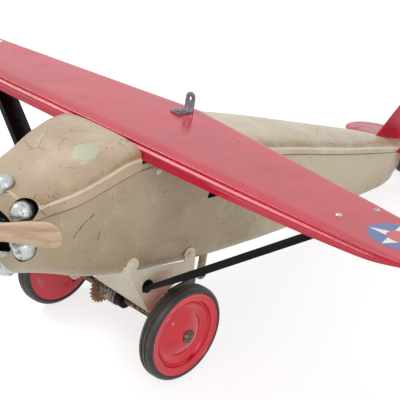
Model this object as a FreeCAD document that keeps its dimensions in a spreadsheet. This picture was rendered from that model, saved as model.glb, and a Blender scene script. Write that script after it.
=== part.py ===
import FreeCAD, Part
import math
import os
import re

import Sketcher
from FreeCAD import Vector

# A pressed-steel toy monoplane. Everything is modelled level, in the fuselage's own axes: x to port, y aft and
# z up from the middle of the main axle. One placement then tilts it onto its tail wheel, nose up.

doc = FreeCAD.newDocument("toy_monoplane")
sheet = doc.addObject("Spreadsheet::Sheet", "Sizes")

# Driving dimensions in millimetres and degrees: alias, value, what it is
SIZES = [
    ("nose_up", 13.0, "angle of the fuselage when it stands on three wheels"),
    ("axle_back", 0.0, "place of the axle along the model, set from the finished length"),
    ("sheet_thick", 1.0, "steel sheet of shells, wing, legs and struts"),
    ("seam_gap", 0.3, "space between the hull and the band that laps over it"),
    ("hull_lap", 4.5, "height of hull edge hidden under the band"),
    ("slot_gap", 0.3, "space round a piece that passes through a shell"),
    ("bore_gap", 0.08, "radial clearance of a turning fit"),
    ("hole_gap", 0.1, "radial clearance of a rivet or bolt in its hole"),
    ("end_gap", 0.3, "end play beside a turning piece"),
    ("axis_height", 84.0, "height of the propeller axis"),
    ("plate_place", -122.0, "back of the crankcase plate"),
    ("plate_thick", 2.0, "crankcase plate"),
    ("plate_radius", 31.5, "crankcase plate"),
    ("head_ring", 33.0, "circle that the cylinder heads show on"),
    ("head_radius", 8.0, "cylinder head"),
    ("head_hole_gap", 0.7, "space round a head in its hole"),
    ("head_tilt", 70.0, "lean of a head outwards from the shaft"),
    ("head_face", -132.0, "place along the fuselage where the domes start"),
    ("head_lift", 2.0, "middle of the ring of heads above the propeller axis"),
    ("head_dome", 4.0, "height of the dome"),
    ("shaft_radius", 2.5, "propeller shaft"),
    ("bush_radius", 5.5, "bearing bush of the shaft"),
    ("bush_length", 9.0, "bearing bush of the shaft"),
    ("prop_place", -147.0, "middle plane of the propeller"),
    ("prop_radius", 88.5, "half of the propeller's length"),
    ("prop_angle", 19.5, "turn of the propeller as it stands"),
    ("prop_pitch", 12.0, "twist of a blade"),
    ("hub_thick", 10.0, "propeller at its middle"),
    ("washer_radius", 6.0, "washers, shaft collar and propeller spacer"),
    ("washer_thick", 1.0, "propeller washer"),
    ("nut_across", 9.0, "propeller nut, corner to corner"),
    ("nut_thick", 3.5, "propeller nut"),
    ("collar_length", 5.0, "collar behind the shaft's bush"),
    ("wing_top", 151.4, "upper face of the wing"),
    ("wing_front", -41.9, "leading edge"),
    ("wing_back", 64.3, "trailing edge at the root"),
    ("wing_half_span", 295.0, "middle of the model to a wing tip"),
    ("wing_taper", 0.151, "forward sweep of the trailing edge"),
    ("tip_round", 46.0, "length of the rounded tip"),
    ("front_lip", 12.6, "turned-down leading edge at the root"),
    ("back_lip", 8.0, "turned-down trailing edge at the root"),
    ("tip_lip", 1.8, "turned-down edge at the tip"),
    ("support_width", 16.0, "straps that carry the wing"),
    ("support_drop", 30.0, "length of a strap's leg below the wing"),
    ("support_front", -22.0, "middle of the front strap"),
    ("support_rear", 40.0, "middle of the rear strap, and the wing bolt"),
    ("bolt_radius", 1.9, "wing bolt"),
    ("bolt_head", 3.6, "wing bolt head"),
    ("bracket_width", 9.5, "hanging bracket"),
    ("bracket_base", 17.0, "length of the bracket's foot"),
    ("bracket_rise", 16.4, "bracket above the wing"),
    ("bracket_eye", 1.6, "radius of the bracket's eye"),
    ("eye_drop", 5.2, "eye below the bracket's top"),
    ("eyelet_radius", 1.5, "rivets of the strut tabs"),
    ("eyelet_head", 2.5, "head of a strut rivet"),
    ("eyelet_front_x", 202.9, "front strut rivet across the model"),
    ("eyelet_front_y", -10.3, "front strut rivet along the model"),
    ("eyelet_back_x", 209.2, "rear strut rivet across the model"),
    ("eyelet_back_y", 24.7, "rear strut rivet along the model"),
    ("tab_radius", 6.0, "rounded ends of a strut's tab"),
    ("strut_width", 19.0, "strut channel"),
    ("strut_foot_width", 9.0, "strut channel at its foot"),
    ("strut_depth", 5.5, "flanges of the strut channel"),
    ("strut_foot_depth", 3.6, "flanges of the strut channel at its foot"),
    ("strut_bolt_y", -17.0, "bolt at the strut's foot"),
    ("strut_bolt_z", 32.0, "bolt at the strut's foot"),
    ("rivet_radius", 1.6, "structural rivets"),
    ("rivet_head", 3.0, "head of a structural rivet"),
    ("head_height", 1.2, "height of rivet and bolt heads"),
    ("wheel_radius", 40.0, "outside of a main tyre"),
    ("tyre_width", 13.9, "main tyre"),
    ("tyre_round", 3.4, "rounding of the tread's edges"),
    ("groove_width", 1.2, "grooves round the tread"),
    ("groove_depth", 1.0, "grooves round the tread"),
    ("groove_place", 1.8, "groove from the middle of the tread"),
    ("track_half", 81.0, "middle of the model to a tyre's outer face"),
    ("disc_radius", 34.9, "edge of the pressed disc"),
    ("rim_radius", 32.6, "bottom of the tyre's seat"),
    ("dish_radius", 27.5, "ridge where the disc steps in"),
    ("dish_depth", 4.6, "floor of the disc's step behind the tyre's face"),
    ("ring_radius", 24.6, "raised ring of the disc"),
    ("ring_rise", 1.8, "raised ring of the disc above the step's floor"),
    ("dome_radius", 19.5, "edge of the disc's middle dome"),
    ("dome_rise", 1.9, "middle of the dome ahead of the tyre's face"),
    ("disc_inset", 0.6, "flat ring of a disc behind the tyre's face"),
    ("disc_sheet", 0.8, "sheet of the wheel discs"),
    ("axle_radius", 3.0, "main axle"),
    ("hub_radius", 5.6, "hub nut"),
    ("hub_length", 1.8, "hub nut"),
    ("star_x", -16.0, "star wheel across the model"),
    ("star_radius", 14.6, "tips of the star wheel"),
    ("star_depth", 3.2, "teeth of the star wheel"),
    ("star_thick", 2.0, "star wheel"),
    ("seat_gap", 0.06, "between sheets and rivets that are pressed together"),
    ("sleeve_radius", 8.1, "spacer sleeve"),
    ("sleeve_length", 20.0, "spacer sleeve"),
    ("collar_radius", 7.5, "black collar on the axle"),
    ("axle_collar_length", 7.5, "black collar on the axle"),
    ("leg_foot_x", 48.5, "inner face of a leg at the axle"),
    ("leg_slant", 3.3, "lean of the leg's side"),
    ("ear_radius", 6.2, "rivet ears of a leg"),
    ("ear_front_y", -35.2, "front ear"),
    ("ear_front_z", 52.5, "height of the front ear"),
    ("ear_back_y", 28.3, "rear ear"),
    ("ear_back_z", 48.8, "height of the rear ear"),
    ("leg_edge_front_z", 47.5, "side's upper edge behind the front ear"),
    ("leg_edge_back_z", 44.3, "side's upper edge ahead of the rear ear"),
    ("leg_foot_radius", 8.0, "rounded foot of a leg"),
    ("web_x", 7.0, "inner edge of a leg's front web"),
    ("web_y", -31.0, "lower inner corner of the front web"),
    ("web_z", 24.0, "lower inner corner of the front web"),
    ("brace_x", 36.0, "brace bolt across the model"),
    ("brace_y", 57.3, "brace bolt along the model"),
    ("brace_z", 22.2, "top of the brace's lug"),
    ("brace_shank", 24.0, "shank of the brace bolt"),
    ("brace_height", 7.0, "brace strap"),
    ("lug_radius", 5.0, "lug of the brace"),
    ("spacer_radius", 3.2, "spacer over the brace"),
    ("knob_radius", 4.5, "domed nut of the brace"),
    ("reed_width", 7.0, "reed of the clicker"),
    ("reed_thick", 0.5, "reed of the clicker"),
    ("reed_gap", 0.7, "reed end above the teeth"),
    ("reed_rivet_y", 30.0, "rivet of the reed"),
    ("window_front", 39.0, "cabin window, front edge at the sill"),
    ("window_length", 36.0, "cabin window"),
    ("window_sill", 95.0, "cabin window"),
    ("window_height", 17.0, "cabin window"),
    ("window_slope", 6.0, "lean of the window's front edge"),
    ("plane_z", 84.5, "underside of the tailplane"),
    ("plane_front", 338.6, "tailplane's leading edge"),
    ("plane_back", 403.0, "tailplane's trailing edge"),
    ("plane_half_span", 60.0, "tailplane"),
    ("plane_straight", 28.0, "straight part of the tailplane's edges"),
    ("fin_top", 146.0, "top of the fin"),
    ("fin_back", 408.0, "rear of the fin"),
    ("fork_width", 15.0, "tail wheel bracket, outside"),
    ("fork_front", 379.0, "tail wheel bracket"),
    ("fork_length", 20.0, "tail wheel bracket"),
    ("tail_axle_y", 390.0, "tail wheel's pin"),
    ("tail_radius", 12.0, "tail wheel"),
    ("tail_width", 9.0, "tail wheel"),
    ("pin_radius", 1.6, "tail wheel's pin"),
]

# Fuselage stations from nose to stern: name, then place, half width, bottom, lower corner radius and seam height of
# the hull, and ridge height, crown height and fullness of the upper shell
STATION_KEYS = ("place", "wide", "low", "round", "seam", "ridge", "crown", "full")
STATIONS = [
    ("lip", -138.0, 26.0, 65.5, 17.0, 90.0, 92.0, 102.7, 2.0),
    ("nose", -132.0, 34.6, 52.0, 30.0, 101.5, 111.0, 117.0, 2.0),
    ("cowl", -112.0, 37.5, 50.5, 26.0, 106.0, 115.5, 124.5, 2.1),
    ("hood", -96.0, 40.5, 48.5, 23.0, 110.0, 120.5, 133.5, 2.2),
    ("brow", -75.0, 43.0, 44.0, 20.0, 118.5, 129.0, 146.0, 2.6),
    ("crest", -54.0, 45.0, 42.0, 18.0, 127.0, 138.0, 149.6, 3.0),
    ("shoulder", -42.4, 45.5, 41.0, 17.0, 130.5, 140.0, 150.0, 3.2),
    ("beam", 0.0, 45.0, 38.0, 17.0, 133.0, 139.0, 148.0, 3.0),
    ("cabin", 51.0, 45.0, 36.5, 17.0, 131.0, 136.5, 144.0, 2.4),
    ("aft", 113.0, 43.0, 37.5, 16.0, 121.7, 127.2, 136.6, 2.2),
    ("waist", 169.0, 38.5, 39.0, 14.0, 112.7, 118.2, 127.5, 2.1),
    ("taper", 228.0, 33.0, 42.0, 12.0, 102.5, 108.0, 116.5, 2.0),
    ("boom", 281.0, 27.0, 46.0, 11.0, 94.0, 99.5, 106.6, 2.0),
    ("tail", 327.0, 21.0, 48.5, 9.0, 86.8, 91.5, 96.8, 2.0),
    ("heel", 343.0, 17.0, 50.5, 8.0, 84.0, 88.0, 92.6, 2.0),
    ("pinch", 358.0, 10.0, 54.0, 6.0, 81.5, 85.2, 89.8, 2.0),
    ("stern", 374.0, 4.0, 60.0, 2.8, 79.0, 82.6, 87.2, 2.0),
]

row = 0
for alias, number, meaning in SIZES:
    row += 1
    sheet.set(f"A{row}", meaning)
    sheet.set(f"B{row}", str(number))
    sheet.setAlias(f"B{row}", alias)
for name, *numbers in STATIONS:
    for key, number in zip(STATION_KEYS, numbers):
        row += 1
        sheet.set(f"A{row}", f"{name} station, {key}")
        sheet.set(f"B{row}", str(number))
        sheet.setAlias(f"B{row}", f"{name}_{key}")
doc.recompute()

ALIASES = {alias for alias, _, _ in SIZES}
FRAME = "placement(vector(0; axle_back; wheel_radius); rotation(vector(1; 0; 0); -nose_up))"
nodes = {}


def size(alias):
    """The number in the sheet's cell of that name."""
    return float(getattr(sheet, alias))


def cells(text):
    """An expression in which each alias is led back to the sheet."""
    return re.sub(r"[a-z][a-z_]*", lambda word: f"Sizes.{word[0]}" if word[0] in ALIASES else word[0], text)


def bind(thing, **expressions):
    """Ties properties of a document object to the sheet."""
    for name, text in expressions.items():
        thing.setExpression(name, cells(text))
    return thing


def put(thing, x="0", y="0", z="0", axis="Z"):
    """Places an object whose own axis is Z along X, Y or Z of the fuselage."""
    turns = {"X": "rotation(vector(0; 1; 0); 90)", "Y": "rotation(vector(1; 0; 0); -90)",
             "Z": "rotation(vector(0; 0; 1); 0)"}
    return bind(thing, Placement=f"placement(vector({x}; {y}; {z}); {turns[axis]})")


def rod(name, radius, length, x="0", y="0", z="0", axis="Z"):
    """A cylinder that starts at a point and runs along an axis."""
    thing = doc.addObject("Part::Cylinder", name)
    bind(thing, Radius=radius, Height=length)
    return put(thing, x, y, z, axis)


def block(name, length, width, height, x="0", y="0", z="0"):
    """A box from its lowest corner."""
    thing = doc.addObject("Part::Box", name)
    bind(thing, Length=length, Width=width, Height=height)
    return put(thing, x, y, z)


def cut(name, base, tool):
    """One object less another."""
    thing = doc.addObject("Part::Cut", name)
    thing.Base = base
    thing.Tool = tool
    return thing


def fuse(name, *things):
    """Several objects as one solid."""
    thing = doc.addObject("Part::MultiFuse", name)
    thing.Shapes = list(things)
    return thing


def tube(name, outer, inner, length, x="0", y="0", z="0", axis="Z"):
    """A cylinder with a bore from end to end."""
    return cut(name, rod(f"{name}_outside", outer, length, x, y, z, axis),
               rod(f"{name}_bore", inner, length, x, y, z, axis))


def node(label, *things):
    """A piece of the model: its own name, and the tilt that stands it on its wheels."""
    if len(things) == 1 and things[0].TypeId in ("Part::Feature", "PartDesign::Body"):
        thing = things[0]
    else:
        thing = doc.addObject("Part::Compound", f"{label}_piece")
        thing.Links = list(things)
    thing.Label = label
    bind(thing, Placement=FRAME)
    nodes[label] = thing
    return thing


def formed(name, shape):
    """A shape made by formula from the sheet's sizes."""
    thing = doc.addObject("Part::Feature", name)
    thing.Shape = Part.makeCompound([shape])
    return thing


def mirrored(shape):
    """The starboard copy of a port shape."""
    return shape.mirror(Vector(0, 0, 0), Vector(1, 0, 0))


def origin_plane(body, role):
    """One of a body's own origin planes or axes."""
    return next(feature for feature in body.Origin.OriginFeatures if feature.Role == role)


def sketch(body, name, corners, role="XY_Plane"):
    """A closed outline of straight edges; each corner's place is an expression, never negative."""
    outline = body.newObject("Sketcher::SketchObject", name)
    outline.AttachmentSupport = [(origin_plane(body, role), "")]
    outline.MapMode = "FlatFace"
    count = len(corners)
    spots = [Vector(100 + 50 * math.cos(2 * math.pi * step / count), 100 + 50 * math.sin(2 * math.pi * step / count), 0)
             for step in range(count)]
    for step in range(count):
        outline.addGeometry(Part.LineSegment(spots[step], spots[(step + 1) % count]), False)
    for step in range(count):
        outline.addConstraint(Sketcher.Constraint("Coincident", step, 2, (step + 1) % count, 1))
    for step, (across, up) in enumerate(corners):
        for kind, text, axis in (("DistanceX", across, -2), ("DistanceY", up, -1)):
            if text == "0":
                outline.addConstraint(Sketcher.Constraint("PointOnObject", step, 1, axis))
            else:
                index = outline.addConstraint(Sketcher.Constraint(kind, -1, 1, step, 1, 100.0))
                outline.setExpression(f"Constraints[{index}]", cells(text))
    return outline


def turned(label, corners):
    """A body turned about the model's cross axis, from an outline of (across, radius) corners."""
    body = doc.addObject("PartDesign::Body", f"{label}_body")
    outline = sketch(body, f"{label}_outline", corners)
    turn = body.newObject("PartDesign::Revolution", f"{label}_turn")
    turn.Profile = outline
    turn.ReferenceAxis = (outline, ["H_Axis"])
    turn.Angle = 360
    outline.Visibility = False
    body.Tip = turn
    doc.recompute()
    return body


def starboard(label, body):
    """A second body like a port one, turned about to the other side."""
    twin = doc.addObject("Part::Mirroring", f"{label}_twin")
    twin.Source = body
    twin.Normal = (1, 0, 0)
    return twin


# Fuselage shells
SHEET = size("sheet_thick")
SEAM_GAP = size("seam_gap")
LAP = size("hull_lap")
CROWN_POINTS = 15


def station(name):
    """The sizes of one fuselage station by key."""
    return {key: size(f"{name}_{key}") for key in STATION_KEYS}


def hull_section(at, inset, top, place=None):
    """A trough: two walls, two round corners and a flat bottom, closed at the top."""
    y = at["place"] if place is None else place
    wide = at["wide"] - inset
    low = at["low"] + inset
    corner = max(at["round"] - inset, 0.4 * wide)
    diagonal = corner * (1 - math.sqrt(0.5))
    spots = [Vector(wide, y, top), Vector(wide, y, low + corner), Vector(wide - corner, y, low),
             Vector(corner - wide, y, low), Vector(-wide, y, low + corner), Vector(-wide, y, top)]
    right = Part.Arc(spots[1], Vector(wide - diagonal, y, low + diagonal), spots[2])
    left = Part.Arc(spots[3], Vector(diagonal - wide, y, low + diagonal), spots[4])
    return Part.Wire([Part.makeLine(spots[0], spots[1]), right.toShape(), Part.makeLine(spots[2], spots[3]),
                      left.toShape(), Part.makeLine(spots[4], spots[5]), Part.makeLine(spots[5], spots[0])])


def deck_section(at, inset, bottom, place=None):
    """The upper shell: an upright band and a crown that is fuller than an ellipse, closed below."""
    y = at["place"] if place is None else place
    wide = at["wide"] + SEAM_GAP + SHEET - inset
    ridge = at["ridge"] - 0.5 * inset
    rise = at["crown"] - inset - ridge
    power = 2.0 / at["full"]
    crown = []
    for step in range(CROWN_POINTS):
        turn = math.pi * step / (CROWN_POINTS - 1)
        across = math.copysign(abs(math.cos(turn)) ** power, math.cos(turn))
        crown.append(Vector(wide * across, y, ridge + rise * math.sin(turn) ** power))
    crown[0] = Vector(wide, y, ridge)
    crown[-1] = Vector(-wide, y, ridge)
    arch = Part.BSplineCurve()
    arch.interpolate(crown)
    right = Vector(wide, y, bottom)
    left = Vector(-wide, y, bottom)
    return Part.Wire([Part.makeLine(right, crown[0]), arch.toShape(), Part.makeLine(crown[-1], left),
                      Part.makeLine(left, right)])


def lofted(sections, ruled=False):
    """A solid through sections."""
    return Part.makeLoft(sections, True, ruled)


def joined(shapes):
    """One shape from several that touch."""
    return shapes[0].multiFuse(shapes[1:]).removeSplitter() if len(shapes) > 1 else shapes[0]


OPENING = 1.0
names = [row_data[0] for row_data in STATIONS]
stations = {name: station(name) for name in names}
main = names[1:-2]
tail_names = names[-3:]


def hull_solid(inset):
    """The hull's outside, or its inside when inset by the sheet."""
    def section(name, place=None):
        at = stations[name]
        rise = LAP + (2 * OPENING if inset else 0)
        return hull_section(at, inset, at["seam"] + rise, place)
    reach = OPENING if inset else 0
    nose = lofted([section("lip", stations["lip"]["place"] - reach), section("nose")], True)
    middle = lofted([section(name) for name in main])
    rear = lofted([section(name) for name in tail_names[:-1]]
                  + [section("stern", stations["stern"]["place"] - inset)], True)
    return joined([nose, middle, rear])


def deck_solid(inset, parts):
    """The outside or inside of an upper shell through the named stations."""
    def section(name, place=None):
        at = stations[name]
        bottom = at["seam"] - (2 * OPENING if inset else 0)
        return deck_section(at, inset, bottom, place)
    reach = OPENING if inset else 0
    if parts[0] == "lip":
        nose = lofted([section("lip", stations["lip"]["place"] - reach), section("nose")], True)
        back = lofted([section(name) for name in parts[1:-1]]
                      + [section(parts[-1], stations[parts[-1]]["place"])])
        end = section(parts[-1])
        shapes = [nose, back]
        if reach:
            shapes.append(Part.Face(end).extrude(Vector(0, reach, 0)))
        return joined(shapes)
    front = lofted([section(name) for name in parts[:-2]])
    rear = lofted([section(parts[-3]), section(parts[-2]),
                   section("stern", stations["stern"]["place"] - inset)], True)
    shapes = [front, rear]
    if reach:
        shapes.append(Part.Face(section(parts[0])).extrude(Vector(0, -reach, 0)))
    return joined(shapes)


HOOD_STATIONS = ["lip", "nose", "cowl", "hood", "brow", "crest", "shoulder"]
DECK_STATIONS = ["cabin", "aft", "waist", "taper", "boom", "tail", "heel", "pinch", "stern"]
hull_outside = hull_solid(0)
hull_shell = hull_outside.cut(hull_solid(SHEET))
hood_shell = deck_solid(0, HOOD_STATIONS).cut(deck_solid(SHEET, HOOD_STATIONS))
deck_shell = deck_solid(0, DECK_STATIONS).cut(deck_solid(SHEET, DECK_STATIONS))


# Radial engine
HEADS = 7
AXIS = Vector(0, 0, size("axis_height"))


def head():
    """A cylinder head on the Z axis: a barrel that starts inside the hull and a domed end."""
    radius = size("head_radius")
    dome = size("head_dome")
    foot = -2 * radius
    edge = Vector(radius, 0, 0)
    tip = Vector(0, 0, dome)
    sphere = (radius ** 2 + dome ** 2) / (2 * dome)
    sweep = math.asin(radius / sphere) / 2
    middle = Vector(sphere * math.sin(sweep), 0, dome - sphere * (1 - math.cos(sweep)))
    wire = Part.Wire([Part.makeLine(Vector(0, 0, foot), Vector(radius, 0, foot)),
                      Part.makeLine(Vector(radius, 0, foot), edge), Part.Arc(edge, middle, tip).toShape(),
                      Part.makeLine(tip, Vector(0, 0, foot))])
    return Part.Face(wire).revolve(Vector(0, 0, 0), Vector(0, 0, 1), 360)


def ring_of_heads(make):
    """Seven copies round the shaft, the first one at the top, each leaning forwards and outwards."""
    copies = []
    for index in range(HEADS):
        turn = 2 * math.pi * index / HEADS
        outward = Vector(math.sin(turn), 0, math.cos(turn))
        tilt = math.radians(size("head_tilt"))
        along = outward * math.sin(tilt) + Vector(0, -1, 0) * math.cos(tilt)
        spot = AXIS + outward * size("head_ring") + Vector(0, size("head_face"), size("head_lift"))
        copy = make()
        copy.Placement = FreeCAD.Placement(spot, FreeCAD.Rotation(Vector(0, 0, 1), along))
        copies.append(copy)
    return copies


def head_hole():
    """The round hole that a head stands through, on the Z axis."""
    radius = size("head_radius") + size("head_hole_gap")
    return Part.makeCylinder(radius, 5 * radius, Vector(0, 0, -1.5 * radius))


plate_face = size("plate_place") - size("plate_thick")
front_half = Part.makeBox(200, 100, 200, Vector(-100, plate_face - 100, -20))
heads = [copy.common(front_half) for copy in ring_of_heads(head)]
node("cylinder_heads", formed("cylinder_head_ring", Part.makeCompound(heads)))
head_holes = ring_of_heads(head_hole)
hull_shell = hull_shell.cut(head_holes)
hood_shell = hood_shell.cut(head_holes)

plate_outside = rod("plate_disc", "plate_radius", "plate_thick", "0", "plate_place - plate_thick", "axis_height", "Y")
plate_bore = rod("plate_bore", "bush_radius", "plate_thick", "0", "plate_place - plate_thick", "axis_height", "Y")
node("crankcase_plate", cut("plate", plate_outside, plate_bore))
BUSH_FRONT = "(plate_place - plate_thick / 2 - bush_length / 2)"
node("shaft_bearing", tube("bush", "bush_radius", "shaft_radius + bore_gap", "bush_length", "0", BUSH_FRONT,
                           "axis_height", "Y"))

# Propeller and what turns with it
HUB_FRONT = "(prop_place - hub_thick / 2)"
HUB_BACK = "(prop_place + hub_thick / 2)"
SHAFT_FRONT = f"({HUB_FRONT} - washer_thick - nut_thick - 1)"
COLLAR_BACK = f"({BUSH_FRONT} + bush_length + end_gap + collar_length)"
node("propeller_shaft", rod("shaft", "shaft_radius", f"{COLLAR_BACK} + 1 - {SHAFT_FRONT}", "0", SHAFT_FRONT,
                            "axis_height", "Y"))
node("shaft_collar", tube("collar", "washer_radius", "shaft_radius", "collar_length", "0",
                          f"{COLLAR_BACK} - collar_length", "axis_height", "Y"))
node("propeller_spacer", tube("spacer", "washer_radius - 1", "shaft_radius",
                              f"{BUSH_FRONT} - end_gap - {HUB_BACK}", "0", HUB_BACK, "axis_height", "Y"))
node("propeller_washer", tube("washer", "washer_radius", "shaft_radius", "washer_thick", "0",
                              f"{HUB_FRONT} - washer_thick", "axis_height", "Y"))


def hexagon(name, across, thick, bore, x, y, z, axis):
    """A hexagonal nut, corner to corner, with a plain bore."""
    body = doc.addObject("Part::Prism", f"{name}_hex")
    body.Polygon = 6
    bind(body, Circumradius=f"({across}) / 2", Height=thick)
    put(body, x, y, z, axis)
    return cut(name, body, rod(f"{name}_hole", bore, thick, x, y, z, axis))


node("propeller_nut", hexagon("prop_nut", "nut_across", "nut_thick", "shaft_radius", "0",
                              f"{HUB_FRONT} - washer_thick - nut_thick", "axis_height", "Y"))

# Share of the propeller's radius, width and thickness of each blade section, and its share of the pitch
BLADE = [(0.14, 15.0, 9.0, 0.3), (0.27, 13.5, 7.0, 0.8), (0.47, 15.5, 5.5, 1.0), (0.65, 18.4, 4.6, 1.0),
         (0.85, 18.5, 3.6, 1.0), (0.95, 14.0, 3.0, 1.0), (1.0, 5.0, 2.0, 1.0)]


def blade_section(reach, width, thick, pitch):
    """An ellipse across the blade at one radius."""
    ellipse = Part.Ellipse(Vector(0, 0, 0), width / 2, thick / 2).toShape()
    wire = Part.Wire([ellipse])
    wire.rotate(Vector(0, 0, 0), Vector(0, 0, 1), pitch)
    wire.Placement = FreeCAD.Placement(Vector(reach, 0, 0), FreeCAD.Rotation(Vector(0, 0, 1), Vector(1, 0, 0))
                                       ).multiply(FreeCAD.Placement(Vector(0, 0, 0), FreeCAD.Rotation(
                                           Vector(0, 0, 1), 90))).multiply(wire.Placement)
    return wire


def propeller_shape():
    """Two blades and a hub block of one piece of wood, bored for the shaft."""
    reach = size("prop_radius")
    pitch = size("prop_pitch")
    sections = [blade_section(-share * reach, width, thick, -pitch * part) for share, width, thick, part in
                reversed(BLADE)]
    sections.append(blade_section(0, BLADE[0][1], size("hub_thick"), 0))
    sections += [blade_section(share * reach, width, thick, pitch * part) for share, width, thick, part in BLADE]
    wood = lofted(sections)
    wood.rotate(Vector(0, 0, 0), Vector(0, 1, 0), -size("prop_angle"))
    wood.translate(AXIS + Vector(0, size("prop_place"), 0))
    half = size("hub_thick") / 2
    boss = Part.makeCylinder(BLADE[0][1] / 2, 2 * half, AXIS + Vector(0, size("prop_place") - half, 0),
                             Vector(0, 1, 0))
    bore = Part.makeCylinder(size("shaft_radius"), 4 * half, AXIS + Vector(0, size("prop_place") - 2 * half, 0),
                             Vector(0, 1, 0))
    seats = [Part.makeCylinder(size("washer_radius") + 1, 2 * half, AXIS + Vector(0, size("prop_place") + far, 0),
                               Vector(0, 1, 0)) for far in (half, -3 * half)]
    return wood.fuse(boss).cut([bore] + seats)


node("propeller", formed("propeller_wood", propeller_shape()))

# Wing
WING_TOP = size("wing_top")
WING_UNDER = WING_TOP - SHEET


def wing_outline(inset):
    """The wing's plan, as one face at height 0: a straight leading edge, a swept trailing edge, round tips."""
    front = size("wing_front") + inset
    reach = size("wing_half_span") - inset
    straight = size("wing_half_span") - size("tip_round")
    slope = size("wing_taper")
    back = size("wing_back") - inset * math.hypot(1, slope)
    tip_back = back - slope * straight
    middle = (front + tip_back) / 2
    edges = []
    for side in (1, -1):
        corner_front = Vector(side * straight, front, 0)
        corner_back = Vector(side * straight, tip_back, 0)
        tip = Vector(side * reach, middle, 0)
        curve = Part.BSplineCurve()
        bulge = 0.62 * (reach - straight)
        poles = [corner_front, corner_front + Vector(side * bulge, 0, 0), Vector(side * reach, front * 0.5
                 + middle * 0.5, 0), tip, Vector(side * reach, middle * 0.5 + tip_back * 0.5, 0),
                 corner_back + Vector(side * bulge, -slope * bulge, 0), corner_back]
        curve.buildFromPoles(poles, False, 3)
        edges.append(curve.toShape())
        edges.append(Part.makeLine(Vector(0, back, 0), corner_back))
        edges.append(Part.makeLine(Vector(0, front, 0), corner_front))
    return Part.Face(Part.Wire(Part.__sortEdges__(edges)))


def lip_cutter(depth_root, y_low, y_high):
    """What is below a turned-down edge, which gets shallower towards the tips."""
    span = size("wing_half_span") + 10
    tip = size("tip_lip")
    shares = ((0.0, 1.0), (0.30, 0.96), (0.51, 0.84), (0.80, 0.48), (0.93, 0.06), (1.05, 0.0))
    edge = [Vector(share * span, 0, WING_TOP - tip - (depth_root - tip) * part) for share, part in shares]
    edge = [Vector(-spot.x, 0, spot.z) for spot in reversed(edge[1:])] + edge
    curve = Part.BSplineCurve()
    curve.interpolate(edge)
    floor = WING_TOP - 60
    low_right = Vector(edge[-1].x, 0, floor)
    low_left = Vector(edge[0].x, 0, floor)
    wire = Part.Wire([curve.toShape(), Part.makeLine(edge[-1], low_right), Part.makeLine(low_right, low_left),
                      Part.makeLine(low_left, edge[0])])
    shape = Part.Face(wire)
    shape.translate(Vector(0, y_low, 0))
    return shape.extrude(Vector(0, y_high - y_low, 0))


def wing_shape():
    """A pressed tray, open below, with holes for its bolt and the strut rivets."""
    depth = size("front_lip")
    outside = wing_outline(0).extrude(Vector(0, 0, depth))
    outside.translate(Vector(0, 0, WING_TOP - depth))
    inside = wing_outline(SHEET).extrude(Vector(0, 0, depth))
    inside.translate(Vector(0, 0, WING_TOP - depth - SHEET))
    tray = outside.cut(inside)
    middle = 0.5 * (size("wing_front") + size("wing_back")) - 20
    tray = tray.cut(lip_cutter(depth, size("wing_front") - 5, middle))
    tray = tray.cut(lip_cutter(size("back_lip"), middle, size("wing_back") + 5))
    holes = []
    for side in (1, -1):
        for end in ("front", "back"):
            spot = Vector(side * size(f"eyelet_{end}_x"), size(f"eyelet_{end}_y"), WING_UNDER - 1)
            holes.append(Part.makeCylinder(size("eyelet_radius") + size("hole_gap"), SHEET + 2, spot))
    spot = Vector(0, size("support_rear"), WING_UNDER - 1)
    holes.append(Part.makeCylinder(size("bolt_radius") + size("hole_gap"), SHEET + 2, spot))
    return tray.cut(holes)


node("wing_panel", formed("wing_tray", wing_shape()))


# Straps across the hull that carry the wing
support_rivet_z = WING_UNDER - size("support_drop") + 7.0


def wall_x(y):
    """Half width of the hull's inside at a place along it, measured on the solid at the support rivets' height."""
    probe = Part.makeLine(Vector(0, y, support_rivet_z), Vector(100, y, support_rivet_z)).common(hull_outside)
    return probe.BoundBox.XMax - SHEET


def strap_x(y):
    """Outer face of a strap's legs, just inside the hull's walls over the strap's whole width."""
    half = size("support_width") / 2
    return min(wall_x(y - half), wall_x(y), wall_x(y + half)) - size("seat_gap")


def support_shape(y, bolt):
    """A strap: a flat top under the wing and two legs inside the hull's walls."""
    half = size("support_width") / 2
    wide = strap_x(y)
    drop = size("support_drop")
    outside = Part.makeBox(2 * wide, 2 * half, drop, Vector(-wide, y - half, WING_UNDER - drop))
    inside = Part.makeBox(2 * (wide - SHEET), 2 * half, drop,
                          Vector(SHEET - wide, y - half, WING_UNDER - drop - SHEET))
    strap = outside.cut(inside)
    holes = [Part.makeCylinder(size("rivet_radius") + size("hole_gap"), 4 * wide,
                               Vector(-2 * wide, y, support_rivet_z), Vector(1, 0, 0))]
    if bolt:
        holes.append(Part.makeCylinder(size("bolt_radius") + size("hole_gap"), 2 * drop,
                                       Vector(0, y, WING_UNDER - drop)))
    return strap.cut(holes)


node("wing_support_front", formed("front_strap", support_shape(size("support_front"), False)))
node("wing_support_rear", formed("rear_strap", support_shape(size("support_rear"), True)))


def rivet(spot, along, grip, radius, head_radius):
    """A rivet from its head's seat: a domed head behind the seat, a shank and a flat clenched end."""
    dome = size("head_height")
    axis = Vector(along).normalize()
    shank = Part.makeCylinder(radius, grip, spot, axis)
    ball = (head_radius ** 2 + dome ** 2) / (2 * dome)
    cap = Part.makeSphere(ball, spot + axis * (ball - dome)).common(
        Part.makeCylinder(head_radius, 2 * dome, spot - axis * 2 * dome, axis))
    tail = Part.makeCylinder(0.8 * head_radius, 0.6 * dome, spot + axis * grip, axis)
    return shank.fuse([cap, tail])


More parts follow.
